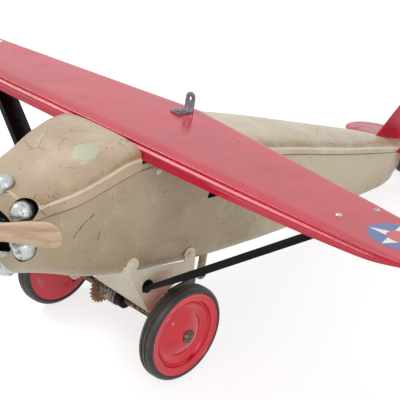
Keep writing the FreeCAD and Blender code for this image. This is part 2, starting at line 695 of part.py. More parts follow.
rivets = []
rivet_holes = []
for y in (size("support_front"), size("support_rear")):
    for side in (1, -1):
        reach = size("rivet_head")
        seat = max(wall_x(y - reach), wall_x(y), wall_x(y + reach)) + SHEET + size("seat_gap")
        grip = seat - strap_x(y) + SHEET + size("seat_gap")
        spot = Vector(side * seat, y, support_rivet_z)
        rivets.append(rivet(spot, Vector(-side, 0, 0), grip, size("rivet_radius"), reach))
        rivet_holes.append(Part.makeCylinder(size("rivet_radius") + size("hole_gap"), 8,
                                             spot + Vector(4 * side, 0, 0), Vector(-side, 0, 0)))
node("support_rivets", formed("strap_rivets", Part.makeCompound(rivets)))

# Wing bolt, its nut and the hanging bracket on top
bracket = doc.addObject("PartDesign::Body", "hanging_bracket_body")
corners = [("0", "0"), ("bracket_base", "0"), ("bracket_base", "bracket_rise"),
           ("bracket_base - 1.5 * sheet_thick", "bracket_rise"), ("bracket_base - 1.5 * sheet_thick", "1.5 * sheet_thick"),
           ("0", "1.5 * sheet_thick")]
outline = sketch(bracket, "bracket_outline", corners, "YZ_Plane")
pad = bracket.newObject("PartDesign::Pad", "bracket_pad")
pad.Profile = outline
pad.Midplane = True
pad.setExpression("Length", cells("bracket_width"))
bracket.Tip = pad
doc.recompute()
upright_edges = [f"Edge{index + 1}" for index, edge in enumerate(pad.Shape.Edges)
                 if abs(edge.CenterOfMass.z - size("bracket_rise")) < 0.01 and edge.Length < 2 * SHEET]
crown = bracket.newObject("PartDesign::Fillet", "bracket_crown")
crown.Base = (pad, upright_edges)
crown.setExpression("Radius", cells("bracket_width / 2 - 0.05"))
bracket.Tip = crown
bind(bracket, Placement="placement(vector(0; support_rear - 5; wing_top); rotation(vector(0; 0; 1); 0))")
eye = rod("bracket_eye_hole", "bracket_eye", "4 * sheet_thick", "0", "support_rear - 5 + bracket_base - 3 * sheet_thick",
          "wing_top + bracket_rise - eye_drop", "Y")
foot_hole = rod("bracket_foot_hole", "bolt_radius + hole_gap", "4 * sheet_thick", "0", "support_rear",
                "wing_top - sheet_thick")
node("hanging_bracket", cut("bracket", cut("bracket_with_eye", bracket, eye), foot_hole))
BRACKET_TOP = "(wing_top + 1.5 * sheet_thick)"
NUT_TOP = "(wing_top - 2 * sheet_thick)"
bolt_cap = rod("wing_bolt_cap", "bolt_head", "1.4 * head_height", "0", "support_rear", BRACKET_TOP)
bolt_slot = block("wing_bolt_slot", "2 * bolt_head", "0.8", "head_height", "-bolt_head", "support_rear - 0.4",
                  f"{BRACKET_TOP} + 0.8 * head_height")
bolt_shank = rod("wing_bolt_shank", "bolt_radius", f"{BRACKET_TOP} - {NUT_TOP} + 5", "0", "support_rear",
                 f"{NUT_TOP} - 5")
node("wing_bolt", fuse("bolt", cut("bolt_cap", bolt_cap, bolt_slot), bolt_shank))
node("wing_nut", hexagon("bolt_nut", "nut_across - 1", "3", "bolt_radius", "0", "support_rear", f"{NUT_TOP} - 3", "Z"))


# Landing gear legs
def leg_x(z):
    """Inner face of a leg's side at a height."""
    return size("leg_foot_x") - math.tan(math.radians(size("leg_slant"))) * z


def leg_side():
    """The leg's side: a plate with two ears, a straight fold in front and a rounded foot about the axle."""
    ear = size("ear_radius")
    front = size("ear_front_y")
    back = size("ear_back_y")
    high = size("ear_front_z")
    top = size("ear_back_z")
    foot = size("leg_foot_radius")
    outline = [Vector(0, front - ear, high), Vector(0, front, high), Vector(0, front + ear, size("leg_edge_front_z")),
               Vector(0, back - ear, size("leg_edge_back_z")), Vector(0, back, top), Vector(0, back + ear, top),
               Vector(0, back + ear + 1, 35), Vector(0, back - 8, 30), Vector(0, foot - 1, 23), Vector(0, foot, 2),
               Vector(0, foot, 0), Vector(0, -foot - 1, 0), Vector(0, -foot - 2, foot)]
    plate = Part.Face(Part.makePolygon(outline + outline[:1])).extrude(Vector(SHEET, 0, 0))
    discs = [Part.makeCylinder(ear, SHEET, Vector(0, y, z), Vector(1, 0, 0)) for y, z in ((front, high), (back, top))]
    discs.append(Part.makeCylinder(foot, SHEET, Vector(0, 0, 0), Vector(1, 0, 0)))
    side = plate.fuse(discs).removeSplitter()
    side.rotate(Vector(0, 0, 0), Vector(0, 1, 0), -size("leg_slant"))
    side.translate(Vector(size("leg_foot_x"), 0, 0))
    return side


def leg_web():
    """The leg's front web: a plate folded inwards along the leg's front edge, cut to the hull's underside."""
    foot = size("leg_foot_radius")
    top_z = size("ear_front_z")
    top = Vector(leg_x(top_z) + 0.3, size("ear_front_y") - size("ear_radius"), top_z)
    low = Vector(leg_x(foot) + 0.3, -foot - 2, foot)
    corner = Vector(size("web_x"), size("web_y"), size("web_z"))
    inner = corner + (top - low) * ((size("shoulder_low") + 4 - corner.z) / (top.z - low.z))
    normal = (low - top).cross(corner - top).normalize()
    if normal.y > 0:
        normal = normal * -1
    face = Part.Face(Part.makePolygon([top, low, corner, inner, top]))
    return face.extrude(normal * SHEET)


leg = leg_side().fuse(leg_web())
leg = leg.cut(hull_outside)
leg_holes = [Part.makeCylinder(size("axle_radius") + size("bore_gap"), 60, Vector(20, 0, 0), Vector(1, 0, 0)),
             Part.makeCylinder(size("rivet_radius") + size("hole_gap"), 60,
                               Vector(20, size("strut_bolt_y"), size("strut_bolt_z")), Vector(1, 0, 0))]
for end in ("front", "back"):
    spot = Vector(20, size(f"ear_{end}_y"), size(f"ear_{end}_z"))
    hole = Part.makeCylinder(size("rivet_radius") + size("hole_gap"), 60, spot, Vector(1, 0, 0))
    leg_holes.append(hole)
    rivet_holes.append(hole)
    rivet_holes.append(mirrored(hole))


# Struts: a channel with its flanges down and outwards, a foot tongue on the leg and a tab under the wing
def strut_shape():
    """The port strut."""
    slope = math.tan(math.radians(size("leg_slant")))
    foot_z = size("strut_bolt_z")
    foot_x = leg_x(foot_z) + SHEET * math.hypot(1, slope)
    foot = Vector(foot_x, size("strut_bolt_y"), foot_z)
    front = Vector(size("eyelet_front_x"), size("eyelet_front_y"), WING_UNDER - SHEET)
    back = Vector(size("eyelet_back_x"), size("eyelet_back_y"), WING_UNDER - SHEET)
    top = (front + back) * 0.5
    along = (top - foot).normalize()
    normal = Vector(-along.z, 0, along.x).normalize()
    across = normal.cross(along).normalize()
    length = (top - foot).Length
    narrow = size("strut_foot_width") / 2
    wide = size("strut_width") / 2
    grow = 0.2 * length
    reach = length + 8

    def plan(inset):
        """The channel's outline seen square to its web."""
        spots = [(-4, narrow - inset), (grow, wide - inset), (reach, wide - inset)]
        points = [foot + along * far + across * half for far, half in spots]
        points += [foot + along * far - across * half for far, half in reversed(spots)]
        return Part.Face(Part.makePolygon(points + points[:1]))

    depth = size("strut_depth")
    channel = plan(0).extrude(normal * -depth)
    hollow = plan(SHEET).extrude(normal * -depth)
    hollow.translate(normal * -SHEET)
    for far in (-6, reach - 6):
        end = plan(SHEET).extrude(normal * -depth)
        end.translate(normal * -SHEET + along * (far - (0 if far < 0 else reach - 12)))
        hollow = hollow.fuse(end)
    shallow = size("strut_foot_depth")
    low_edge = [foot + along * -8 - normal * shallow, foot + along * grow - normal * depth,
                foot + along * grow - normal * 3 * depth, foot + along * -8 - normal * 3 * depth]
    low_side = Part.Face(Part.makePolygon([spot - across * 2 * wide for spot in low_edge + low_edge[:1]]))
    channel = channel.cut([hollow, low_side.extrude(across * 4 * wide)])
    below_wing = Part.makeBox(600, 400, 300, Vector(0, -200, WING_UNDER - 0.5 * SHEET - 300))
    channel = channel.common(below_wing)
    outboard = Part.makeBox(400, 400, 400, Vector(0, -200, -200))
    outboard.rotate(Vector(0, 0, 0), Vector(0, 1, 0), -size("leg_slant"))
    outboard.translate(Vector(size("leg_foot_x") + SHEET * math.hypot(1, slope) + 0.02, 0, 0))
    channel = channel.common(outboard)
    tongue = Part.makeCylinder(size("strut_foot_width") / 2 + 1, SHEET, Vector(0, 0, 0), Vector(1, 0, 0))
    tongue.rotate(Vector(0, 0, 0), Vector(0, 1, 0), -size("leg_slant"))
    tongue.translate(foot + Vector(0.05, 0, 0))
    run = back - front
    side = Vector(-run.y, run.x, 0).normalize() * size("tab_radius")
    tab = Part.Face(Part.makePolygon([front + side, back + side, back - side, front - side, front + side])).extrude(
        Vector(0, 0, SHEET))
    ends = [Part.makeCylinder(size("tab_radius"), SHEET, spot) for spot in (front, back)]
    strut = channel.fuse([tongue, tab] + ends)
    holes = [Part.makeCylinder(size("eyelet_radius") + size("hole_gap"), 20, spot - Vector(0, 0, 10))
             for spot in (front, back)]
    holes.append(Part.makeCylinder(size("rivet_radius") + size("hole_gap"), 12, foot - Vector(6, 0, 0),
                                   Vector(1, 0, 0)))
    strut = strut.cut(holes)
    head_room = Part.makeCylinder(size("rivet_head") + 0.3, 30, foot + Vector(SHEET + 0.1, 0, 0), Vector(1, 0, 0))
    strut = strut.cut(head_room)
    return max(strut.Solids, key=lambda solid: solid.Volume), foot


strut, strut_foot = strut_shape()
node("strut_port", formed("strut_port_shape", strut))
node("strut_starboard", formed("strut_starboard_shape", mirrored(strut)))
eyelets = []
strut_bolts = []
for end in ("front", "back"):
    spot = Vector(size(f"eyelet_{end}_x"), size(f"eyelet_{end}_y"), WING_TOP)
    port = rivet(spot, Vector(0, 0, -1), 2 * SHEET, size("eyelet_radius"), size("eyelet_head"))
    eyelets += [port, mirrored(port)]
node("strut_eyelets", formed("eyelet_set", Part.makeCompound(eyelets)))
bolt_seat = strut_foot + Vector(SHEET + 0.12, 0, 0)
bolt_port = rivet(bolt_seat, Vector(-1, 0, 0), 2 * SHEET + 0.6, size("rivet_radius"), size("rivet_head") - 0.2)
node("strut_bolts", formed("strut_bolt_set", Part.makeCompound([bolt_port, mirrored(bolt_port)])))


# Braces behind the legs
def brace_parts():
    """The port brace, its spacer under the hull, the domed nut below, and its rivet on the leg with that one's hole."""
    lug = Vector(size("brace_x"), size("brace_y"), size("brace_z"))
    start = Vector(leg_x(lug.z) - 0.1, 0, 0)
    turn = Vector(start.x - 0.4, size("leg_foot_radius") + 2, 0)
    height = size("brace_height")
    low = lug.z - height
    points = [start + Vector(0, -4, 0), turn, Vector(lug.x, lug.y, 0)]
    outline = points + [spot - Vector(SHEET, 0, 0) for spot in reversed(points)]
    strap = Part.Face(Part.makePolygon(outline + outline[:1])).extrude(Vector(0, 0, height))
    strap.translate(Vector(0, 0, low))
    plate = Part.makeCylinder(size("lug_radius"), SHEET, lug - Vector(0, 0, SHEET))
    above_lug = Part.makeCylinder(size("lug_radius") + 1, 3 * height, lug - Vector(0, 0, 3 * height + SHEET))
    hole_radius = size("rivet_radius") + size("hole_gap")
    strap = strap.cut(above_lug).fuse(plate).cut(Part.makeCylinder(hole_radius, 20, lug - Vector(0, 0, 10)))
    seat = low + height / 2
    rivet_spot = Vector(leg_x(seat) + SHEET / math.cos(math.radians(size("leg_slant"))) + 0.15, 0, seat)
    rivet_hole = Part.makeCylinder(hole_radius, 20, rivet_spot - Vector(10, 0, 0), Vector(1, 0, 0))
    spacer = Part.makeCylinder(size("spacer_radius"), 30, lug)
    spacer = spacer.cut(Part.makeCylinder(hole_radius, 30, lug)).cut(hull_outside)
    spacer = min(spacer.Solids, key=lambda solid: solid.CenterOfMass.z)
    knob = Part.makeSphere(size("knob_radius"), lug - Vector(0, 0, SHEET)).common(
        Part.makeCylinder(size("knob_radius"), size("knob_radius"), lug - Vector(0, 0, SHEET), Vector(0, 0, -1)))
    reach = size("brace_shank")
    shank = Part.makeCylinder(size("rivet_radius"), reach, lug - Vector(0, 0, 2 * SHEET))
    tail = Part.makeCylinder(size("rivet_head"), SHEET, lug + Vector(0, 0, reach - 2 * SHEET))
    fixing = rivet(rivet_spot, Vector(-1, 0, 0), 2 * SHEET + 0.75, size("rivet_radius"), size("rivet_head"))
    return strap.cut(rivet_hole), spacer, knob.fuse([shank, tail]), fixing, rivet_hole


brace, brace_spacer, brace_bolt, brace_rivet, brace_hole = brace_parts()
node("gear_brace_port", formed("brace_port", brace))
node("gear_brace_starboard", formed("brace_starboard", mirrored(brace)))
node("brace_spacers", formed("brace_spacer_set", Part.makeCompound([brace_spacer, mirrored(brace_spacer)])))
node("brace_bolts", formed("brace_bolt_set", Part.makeCompound([brace_bolt, mirrored(brace_bolt)])))
leg = max(leg.cut(leg_holes + [brace_hole]).Solids, key=lambda solid: solid.Volume)
node("gear_leg_port", formed("leg_port", leg))
node("gear_leg_starboard", formed("leg_starboard", mirrored(leg)))
gear_rivets = [brace_rivet, mirrored(brace_rivet)]
for end in ("front", "back"):
    height = size(f"ear_{end}_z")
    seat = leg_x(height) + SHEET / math.cos(math.radians(size("leg_slant"))) + 0.15
    spot = Vector(seat, size(f"ear_{end}_y"), height)
    port = rivet(spot, Vector(-1, 0, 0), 7.0, size("rivet_radius"), size("rivet_head"))
    gear_rivets += [port, mirrored(port)]
node("gear_rivets", formed("leg_rivets", Part.makeCompound(gear_rivets)))
bolt_hole = Part.makeCylinder(size("rivet_radius") + size("hole_gap"), 30,
                              Vector(size("brace_x"), size("brace_y"), size("brace_z")))
rivet_holes += [bolt_hole, mirrored(bolt_hole)]

# Wheels: outer disc, inner disc and tyre on each side, and the axle with all that turns with it
FACE = "track_half"
SEAT = "(track_half - tyre_width)"
RING_FACE = f"{FACE} - disc_inset"
RING_BACK = f"{RING_FACE} - disc_sheet"
FLOOR = f"{FACE} - dish_depth"
OUTER_LIP = f"{SEAT} + tyre_width / 2 + 0.02"
outer_disc = [(f"{FACE} + dome_rise - disc_sheet", "axle_radius"), (f"{FACE} + dome_rise", "axle_radius"),
              (f"{FACE} + dome_rise", "hub_radius + 1"), (f"{FACE} + 0.3", "0.6 * dome_radius"),
              (f"{FACE} - 0.4 * dish_depth", "0.84 * dome_radius"), (f"{FLOOR} + 0.2", "dome_radius"),
              (FLOOR, "dome_radius + 1.2"), (f"{FLOOR} + ring_rise", "ring_radius - 0.8"),
              (f"{FLOOR} + ring_rise", "ring_radius + 0.8"), (FLOOR, "dish_radius - 0.8"),
              (RING_FACE, "dish_radius + 1"), (RING_FACE, "disc_radius"), (RING_BACK, "disc_radius"),
              (RING_BACK, "rim_radius"), (OUTER_LIP, "rim_radius"), (OUTER_LIP, "rim_radius - disc_sheet"),
              (RING_BACK, "rim_radius - disc_sheet"), (RING_BACK, "dish_radius + 1.3"),
              (f"{FLOOR} - disc_sheet", "dish_radius - 0.5"),
              (f"{FLOOR} + ring_rise - disc_sheet", "ring_radius + 0.5"),
              (f"{FLOOR} + ring_rise - disc_sheet", "ring_radius - 0.5"),
              (f"{FLOOR} - disc_sheet", "dome_radius + 1.5"), (f"{FLOOR} + 0.2 - disc_sheet", "dome_radius - 0.4"),
              (f"{FACE} - 0.4 * dish_depth - disc_sheet", "0.82 * dome_radius"),
              (f"{FACE} + 0.3 - disc_sheet", "0.57 * dome_radius"),
              (f"{FACE} + dome_rise - disc_sheet", "hub_radius + 0.4")]
BACK_FACE = f"{SEAT} + disc_inset"
BACK_FRONT = f"{BACK_FACE} + disc_sheet"
BACK_FLOOR = f"{SEAT} + 3.6"
INNER_LIP = f"{SEAT} + tyre_width / 2 - 0.02"
inner_disc = [(BACK_FLOOR, "axle_radius"), (BACK_FLOOR, "dome_radius + 4"), (BACK_FACE, "dish_radius + 1"),
              (BACK_FACE, "disc_radius"), (BACK_FRONT, "disc_radius"), (BACK_FRONT, "rim_radius"),
              (INNER_LIP, "rim_radius"), (INNER_LIP, "rim_radius - disc_sheet"),
              (BACK_FRONT, "rim_radius - disc_sheet"), (BACK_FRONT, "dish_radius + 1.3"),
              (f"{BACK_FLOOR} + disc_sheet", "dome_radius + 4.3"), (f"{BACK_FLOOR} + disc_sheet", "axle_radius")]
MIDDLE = "(track_half - tyre_width / 2)"
tread = [(f"{SEAT} + 0.62 + disc_sheet", "rim_radius + 0.02"), (f"{SEAT} + 0.62 + disc_sheet", "disc_radius + 0.02"),
         (SEAT, "disc_radius + 0.02"), (SEAT, "wheel_radius - tyre_round"),
         (f"{SEAT} + 0.3 * tyre_round", "wheel_radius - 0.3 * tyre_round"), (f"{SEAT} + tyre_round", "wheel_radius")]
for sign in ("-", "+"):
    groove = f"{MIDDLE} {sign} groove_place"
    tread += [(f"{groove} - groove_width / 2", "wheel_radius"),
              (f"{groove} - groove_width / 2", "wheel_radius - groove_depth"),
              (f"{groove} + groove_width / 2", "wheel_radius - groove_depth"),
              (f"{groove} + groove_width / 2", "wheel_radius")]
tread += [(f"{FACE} - tyre_round", "wheel_radius"), (f"{FACE} - 0.3 * tyre_round", "wheel_radius - 0.3 * tyre_round"),
          (FACE, "wheel_radius - tyre_round"), (FACE, "disc_radius + 0.02"),
          (f"{FACE} - 0.62 - disc_sheet", "disc_radius + 0.02"), (f"{FACE} - 0.62 - disc_sheet", "rim_radius + 0.02")]
HUB_SEAT = f"({FACE} + dome_rise)"
hub = [(HUB_SEAT, "axle_radius"), (HUB_SEAT, "hub_radius"), (f"{HUB_SEAT} + 0.6 * hub_length", "hub_radius"),
       (f"{HUB_SEAT} + hub_length", "0.7 * hub_radius"), (f"{HUB_SEAT} + hub_length", "axle_radius")]
for label, corners in (("wheel_disc", outer_disc), ("wheel_backing", inner_disc), ("tyre", tread), ("hub_nut", hub)):
    port = turned(label, corners)
    node(f"{label}_port", port)
    twin = starboard(label, turned(f"{label}_twin_source", corners))
    node(f"{label}_starboard", twin)

AXLE_END = f"({HUB_SEAT} + hub_length + 0.3)"
axle_rod = rod("axle_rod", "axle_radius", f"2 * {AXLE_END}", f"-{AXLE_END}", "0", "0", "X")
slot_port = block("axle_slot_port", "1", "0.9", "2 * axle_radius", f"{AXLE_END} - 0.8", "-0.45", "-axle_radius")
slot_starboard = block("axle_slot_starboard", "1", "0.9", "2 * axle_radius", f"-{AXLE_END} - 0.2", "-0.45",
                       "-axle_radius")
node("main_axle", cut("axle", cut("axle_one_slot", axle_rod, slot_port), slot_starboard))
STAR_RIGHT = "(star_x + star_thick / 2)"
node("axle_sleeve", tube("sleeve", "sleeve_radius", "axle_radius", "sleeve_length", STAR_RIGHT, "0", "0", "X"))
node("axle_collar", tube("axle_ring", "collar_radius", "axle_radius", "axle_collar_length",
                         f"{STAR_RIGHT} + sleeve_length", "0", "0", "X"))
TEETH = 24


def star_shape():
    """The clicker's star wheel: pointed teeth round a disc."""
    tip = size("star_radius")
    root = tip - size("star_depth")
    spots = []
    for tooth in range(TEETH):
        turn = 2 * math.pi * tooth / TEETH
        half = math.pi / TEETH
        spots.append(Vector(0, tip * math.cos(turn), tip * math.sin(turn)))
        spots.append(Vector(0, root * math.cos(turn + half), root * math.sin(turn + half)))
    disc = Part.Face(Part.makePolygon(spots + spots[:1])).extrude(Vector(size("star_thick"), 0, 0))
    disc.translate(Vector(size("star_x") - size("star_thick") / 2, 0, 0))
    bore = Part.makeCylinder(size("axle_radius"), 40, Vector(size("star_x") - 20, 0, 0), Vector(1, 0, 0))
    return disc.cut(bore)


node("star_wheel", formed("star", star_shape()))


# Reed of the clicker, under the hull
def hull_bottom(y):
    """Height of the hull's underside at a place along it, measured on the solid."""
    probe = Part.makeLine(Vector(size("star_x"), y, -50), Vector(size("star_x"), y, 90)).common(hull_outside)
    return probe.BoundBox.ZMin


def reed_shape():
    """A flat foot riveted under the hull and a blade that comes down just over the teeth."""
    half = size("reed_width") / 2
    thick = size("reed_thick")
    y = size("reed_rivet_y")
    ceiling = min(hull_bottom(y + 5), hull_bottom(y - 5)) - 0.05
    end = size("star_radius") + size("reed_gap")
    spots = [(y + 5, ceiling), (y - 6, ceiling), (y - 10, ceiling - 3), (2.0, end + thick), (-3.0, end + thick)]
    outline = [Vector(0, a, b) for a, b in spots] + [Vector(0, a, b - thick) for a, b in reversed(spots)]
    reed = Part.Face(Part.makePolygon(outline + outline[:1])).extrude(Vector(2 * half, 0, 0))
    reed.translate(Vector(size("star_x") - half, 0, 0))
    hole = Part.makeCylinder(size("rivet_radius") + size("hole_gap"), 20, Vector(size("star_x"), y, ceiling - 10))
    return reed.cut(hole), ceiling


reed, reed_ceiling = reed_shape()
node("clicker_reed", formed("reed", reed))
reed_spot = Vector(size("star_x"), size("reed_rivet_y"), reed_ceiling - size("reed_thick"))
node("reed_rivet", formed("reed_rivet_shape", rivet(reed_spot, Vector(0, 0, 1), size("reed_thick") + SHEET + 0.4,
                                                    size("rivet_radius"), size("rivet_head"))))
rivet_holes.append(Part.makeCylinder(size("rivet_radius") + size("hole_gap"), 20, reed_spot - Vector(0, 0, 5)))

# Tail: tailplane and fin of flat sheet
PLANE_Z = size("plane_z")


def plane_shape(extra):
    """The tailplane: straight edges near the fuselage and round ends, grown by a clearance when it cuts a slot."""
    front = size("plane_front") - extra
    back = size("plane_back") + extra
    straight = size("plane_straight")
    reach = size("plane_half_span") + extra
    middle = (front + back) / 2
    shapes = [Part.makeBox(2 * straight, back - front, SHEET + 2 * extra, Vector(-straight, front, PLANE_Z - extra))]
    for side in (1, -1):
        major = max(reach - straight, (back - front) / 2)
        minor = min(reach - straight, (back - front) / 2)
        ellipse = Part.Ellipse(Vector(0, 0, 0), major, minor)
        face = Part.Face(Part.Wire([ellipse.toShape()]))
        if reach - straight < (back - front) / 2:
            face.rotate(Vector(0, 0, 0), Vector(0, 0, 1), 90)
        face.translate(Vector(side * straight, middle, PLANE_Z - extra))
        shapes.append(face.extrude(Vector(0, 0, SHEET + 2 * extra)))
    return shapes[0].fuse(shapes[1:]).removeSplitter()


FIN_FLANGE = 7.0


def fin_outline():
    """The fin's outline at the middle of the model, from its foot on the tailplane."""
    foot = PLANE_Z + SHEET
    back = size("fin_back")
    top = size("fin_top")
    lead = [Vector(0, 318, foot + 6), Vector(0, 326, 96), Vector(0, 341, 109), Vector(0, 358, 124.4),
            Vector(0, 374, top - 5)]
    crest = [Vector(0, 374, top - 5), Vector(0, 390, top), Vector(0, back - 5, top - 8), Vector(0, back, top - 26)]
    edges = []
    for spots in (lead, crest):
        curve = Part.BSplineCurve()
        curve.interpolate(spots)
        edges.append(curve.toShape())
    low_back = Vector(0, back - 6, foot)
    low_front = Vector(0, 318, foot)
    edges += [Part.makeLine(crest[-1], low_back), Part.makeLine(low_back, low_front), Part.makeLine(low_front, lead[0])]
    return Part.Face(Part.Wire(Part.__sortEdges__(edges)))


def fin_shape(extra):
    """The fin and its foot flange, or the slot that it needs."""
    face = fin_outline()
    face.translate(Vector(-SHEET / 2 - extra, 0, 0))
    return face.extrude(Vector(SHEET + 2 * extra, 0, 0))


plane_plate = plane_shape(0)
fin_plate = fin_shape(0)
flange = Part.makeBox(FIN_FLANGE, size("fork_length"), SHEET, Vector(0, size("fork_front"), PLANE_Z + SHEET))
fin_plate = fin_plate.fuse(flange)
TAIL_RIVET_X = 4.0
tail_spots = [Vector(TAIL_RIVET_X, size("fork_front") + share * size("fork_length"), 0) for share in (0.25, 0.75)]
tail_holes = [Part.makeCylinder(size("rivet_radius") + size("hole_gap"), 20, spot + Vector(0, 0, PLANE_Z - 10))
              for spot in tail_spots]
node("tailplane", formed("tailplane_sheet", plane_plate.cut(tail_holes)))
node("tail_fin", formed("fin_sheet", fin_plate.cut(tail_holes)))
tail_rivets = [rivet(spot + Vector(0, 0, PLANE_Z + 2 * SHEET), Vector(0, 0, -1), 3 * SHEET, size("rivet_radius"),
                     size("rivet_head") - 0.2) for spot in tail_spots]
node("tail_rivets", formed("tail_rivet_set", Part.makeCompound(tail_rivets)))

# Tail wheel: a fork under the tailplane, its pin and the wheel
tilt = math.radians(size("nose_up"))
TAIL_Y = size("tail_axle_y")
TAIL_Z = (size("tail_radius") - size("wheel_radius") + TAIL_Y * math.sin(tilt)) / math.cos(tilt)


def fork_shape():
    """A fork: a flat top riveted under the tailplane and two cheeks that narrow to the pin."""
    half = size("fork_width") / 2
    front = size("fork_front")
    back = front + size("fork_length")
    low = TAIL_Z - 3.5
    outline = [Vector(0, front, PLANE_Z), Vector(0, back, PLANE_Z), Vector(0, TAIL_Y + 4, low + 3),
               Vector(0, TAIL_Y + 2.5, low), Vector(0, TAIL_Y - 2.5, low), Vector(0, TAIL_Y - 4, low + 3)]
    solid = Part.Face(Part.makePolygon(outline + outline[:1])).extrude(Vector(2 * half, 0, 0))
    solid.translate(Vector(-half, 0, 0))
    hollow = Part.makeBox(2 * (half - SHEET), 200, 200, Vector(SHEET - half, TAIL_Y - 100, PLANE_Z - SHEET - 200))
    pin = Part.makeCylinder(size("pin_radius"), 60, Vector(-30, TAIL_Y, TAIL_Z), Vector(1, 0, 0))
    return solid.cut(hollow).cut([pin] + tail_holes)


node("tail_fork", formed("fork", fork_shape()))
half_pin = size("fork_width") / 2 + 1.2
pin_shape = Part.makeCylinder(size("pin_radius"), 2 * half_pin, Vector(-half_pin, TAIL_Y, TAIL_Z), Vector(1, 0, 0))
for side in (1, -1):
    start = Vector(side * (size("fork_width") / 2), TAIL_Y, TAIL_Z)
    pin_shape = pin_shape.fuse(Part.makeCylinder(1.6 * size("pin_radius"), 1.2, start, Vector(side, 0, 0)))
node("tail_pin", formed("tail_pin_shape", pin_shape))


def tail_wheel_shape():
    """A small solid wheel with rounded shoulders."""
    half = size("tail_width") / 2
    radius = size("tail_radius")
    shoulder = 2.5
    bore = size("pin_radius") + size("bore_gap")
    spots = [Vector(-half, bore, 0), Vector(-half, radius - shoulder, 0), Vector(shoulder - half, radius, 0),
             Vector(half - shoulder, radius, 0), Vector(half, radius - shoulder, 0), Vector(half, bore, 0)]
    slant = shoulder * (1 - math.sqrt(0.5))
    edges = [Part.makeLine(spots[0], spots[1]),
             Part.Arc(spots[1], Vector(slant - half, radius - slant, 0), spots[2]).toShape(),
             Part.makeLine(spots[2], spots[3]),
             Part.Arc(spots[3], Vector(half - slant, radius - slant, 0), spots[4]).toShape(),
             Part.makeLine(spots[4], spots[5]), Part.makeLine(spots[5], spots[0])]
    wheel = Part.Face(Part.Wire(edges)).revolve(Vector(0, 0, 0), Vector(1, 0, 0), 360)
    wheel.translate(Vector(0, TAIL_Y, TAIL_Z))
    return wheel


node("tail_wheel", formed("tail_roller", tail_wheel_shape()))

# Openings in the shells, cut last, when every piece that passes through them is known
sill = size("window_sill")
front = size("window_front")
back = front + size("window_length")
head_z = sill + size("window_height")
window = Part.makePolygon([Vector(-60, front, sill), Vector(-60, back, sill), Vector(-60, back, head_z),
                           Vector(-60, front + size("window_slope"), head_z), Vector(-60, front, sill)])
window_cut = Part.Face(window).extrude(Vector(120, 0, 0))
plane_slot = plane_shape(size("slot_gap"))
fin_slot = fin_shape(size("slot_gap"))
hull_shell = hull_shell.cut([window_cut, plane_slot] + rivet_holes)
deck_shell = deck_shell.cut([plane_slot, fin_slot])


def largest(shape):
    """The main solid of a cut shape, without slivers."""
    return max(shape.Solids, key=lambda solid: solid.Volume)


node("fuselage_hull", formed("hull", largest(hull_shell)))
node("engine_hood", formed("hood", largest(hood_shell)))
node("turtle_deck", formed("deck", largest(deck_shell)))
doc.recompute()

# The model's middle goes to the origin along its length
boxes = [thing.Shape.BoundBox for thing in nodes.values()]
middle_y = (min(box.YMin for box in boxes) + max(box.YMax for box in boxes)) / 2
sheet.set(f"B{[alias for alias, _, _ in SIZES].index('axle_back') + 1}", f"{-middle_y:.4f}")
doc.recompute()

for thing in doc.Objects:
    if "Invalid" in thing.State or "Error" in thing.State:
        raise RuntimeError(f"{thing.Label} could not be made: {thing.State}")
for label, thing in nodes.items():
    if thing.Shape.isNull() or not thing.Shape.isValid():
        raise RuntimeError(f"{label} has no valid shape")
os.makedirs("parts", exist_ok=True)
for label, thing in nodes.items():
    thing.Shape.exportStep(f"parts/{label}.step")
    box = thing.Shape.BoundBox
    print(f"{label:24s} solids {len(thing.Shape.Solids)} volume {thing.Shape.Volume:10.1f} "
          f"x {box.XMin:7.1f} {box.XMax:7.1f} y {box.YMin:7.1f} {box.YMax:7.1f} z {box.ZMin:7.1f} {box.ZMax:7.1f}")
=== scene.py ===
import logging
import math
from dataclasses import dataclass
from enum import Enum
from typing import Callable, Optional, Sequence, Union

import bmesh
import bpy
import numpy as np
from mathutils import Matrix, Vector


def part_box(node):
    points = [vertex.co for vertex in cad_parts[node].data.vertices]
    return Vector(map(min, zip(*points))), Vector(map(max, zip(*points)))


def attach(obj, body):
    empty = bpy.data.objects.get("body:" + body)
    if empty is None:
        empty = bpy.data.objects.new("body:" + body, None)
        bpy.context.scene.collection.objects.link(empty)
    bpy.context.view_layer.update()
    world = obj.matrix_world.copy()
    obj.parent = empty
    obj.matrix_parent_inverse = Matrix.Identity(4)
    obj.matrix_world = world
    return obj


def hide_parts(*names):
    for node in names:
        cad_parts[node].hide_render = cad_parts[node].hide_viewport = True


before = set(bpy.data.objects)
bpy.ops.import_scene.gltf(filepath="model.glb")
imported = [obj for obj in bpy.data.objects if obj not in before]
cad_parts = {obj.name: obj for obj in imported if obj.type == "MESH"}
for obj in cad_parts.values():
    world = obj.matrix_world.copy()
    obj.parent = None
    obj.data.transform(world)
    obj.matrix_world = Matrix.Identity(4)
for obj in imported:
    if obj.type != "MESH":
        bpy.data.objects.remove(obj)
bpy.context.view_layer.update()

log = logging.getLogger("toy_monoplane")

MM = 0.001
# Degrees by which the fuselage's own axes are turned up from the level floor
NOSE_UP = 13.0
# Attributes of the fuselage's skin that carry the height above ridge and seam to its paint
RIDGE_RISE = "ridge_rise"
SEAM_RISE = "seam_rise"
Point = tuple[float, float, float]


class Body(Enum):
    """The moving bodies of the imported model."""

    AIRFRAME = "airframe"
    AXLE = "axle_set"
    PROPELLER = "propeller_set"
    ROLLER = "tail_roller"


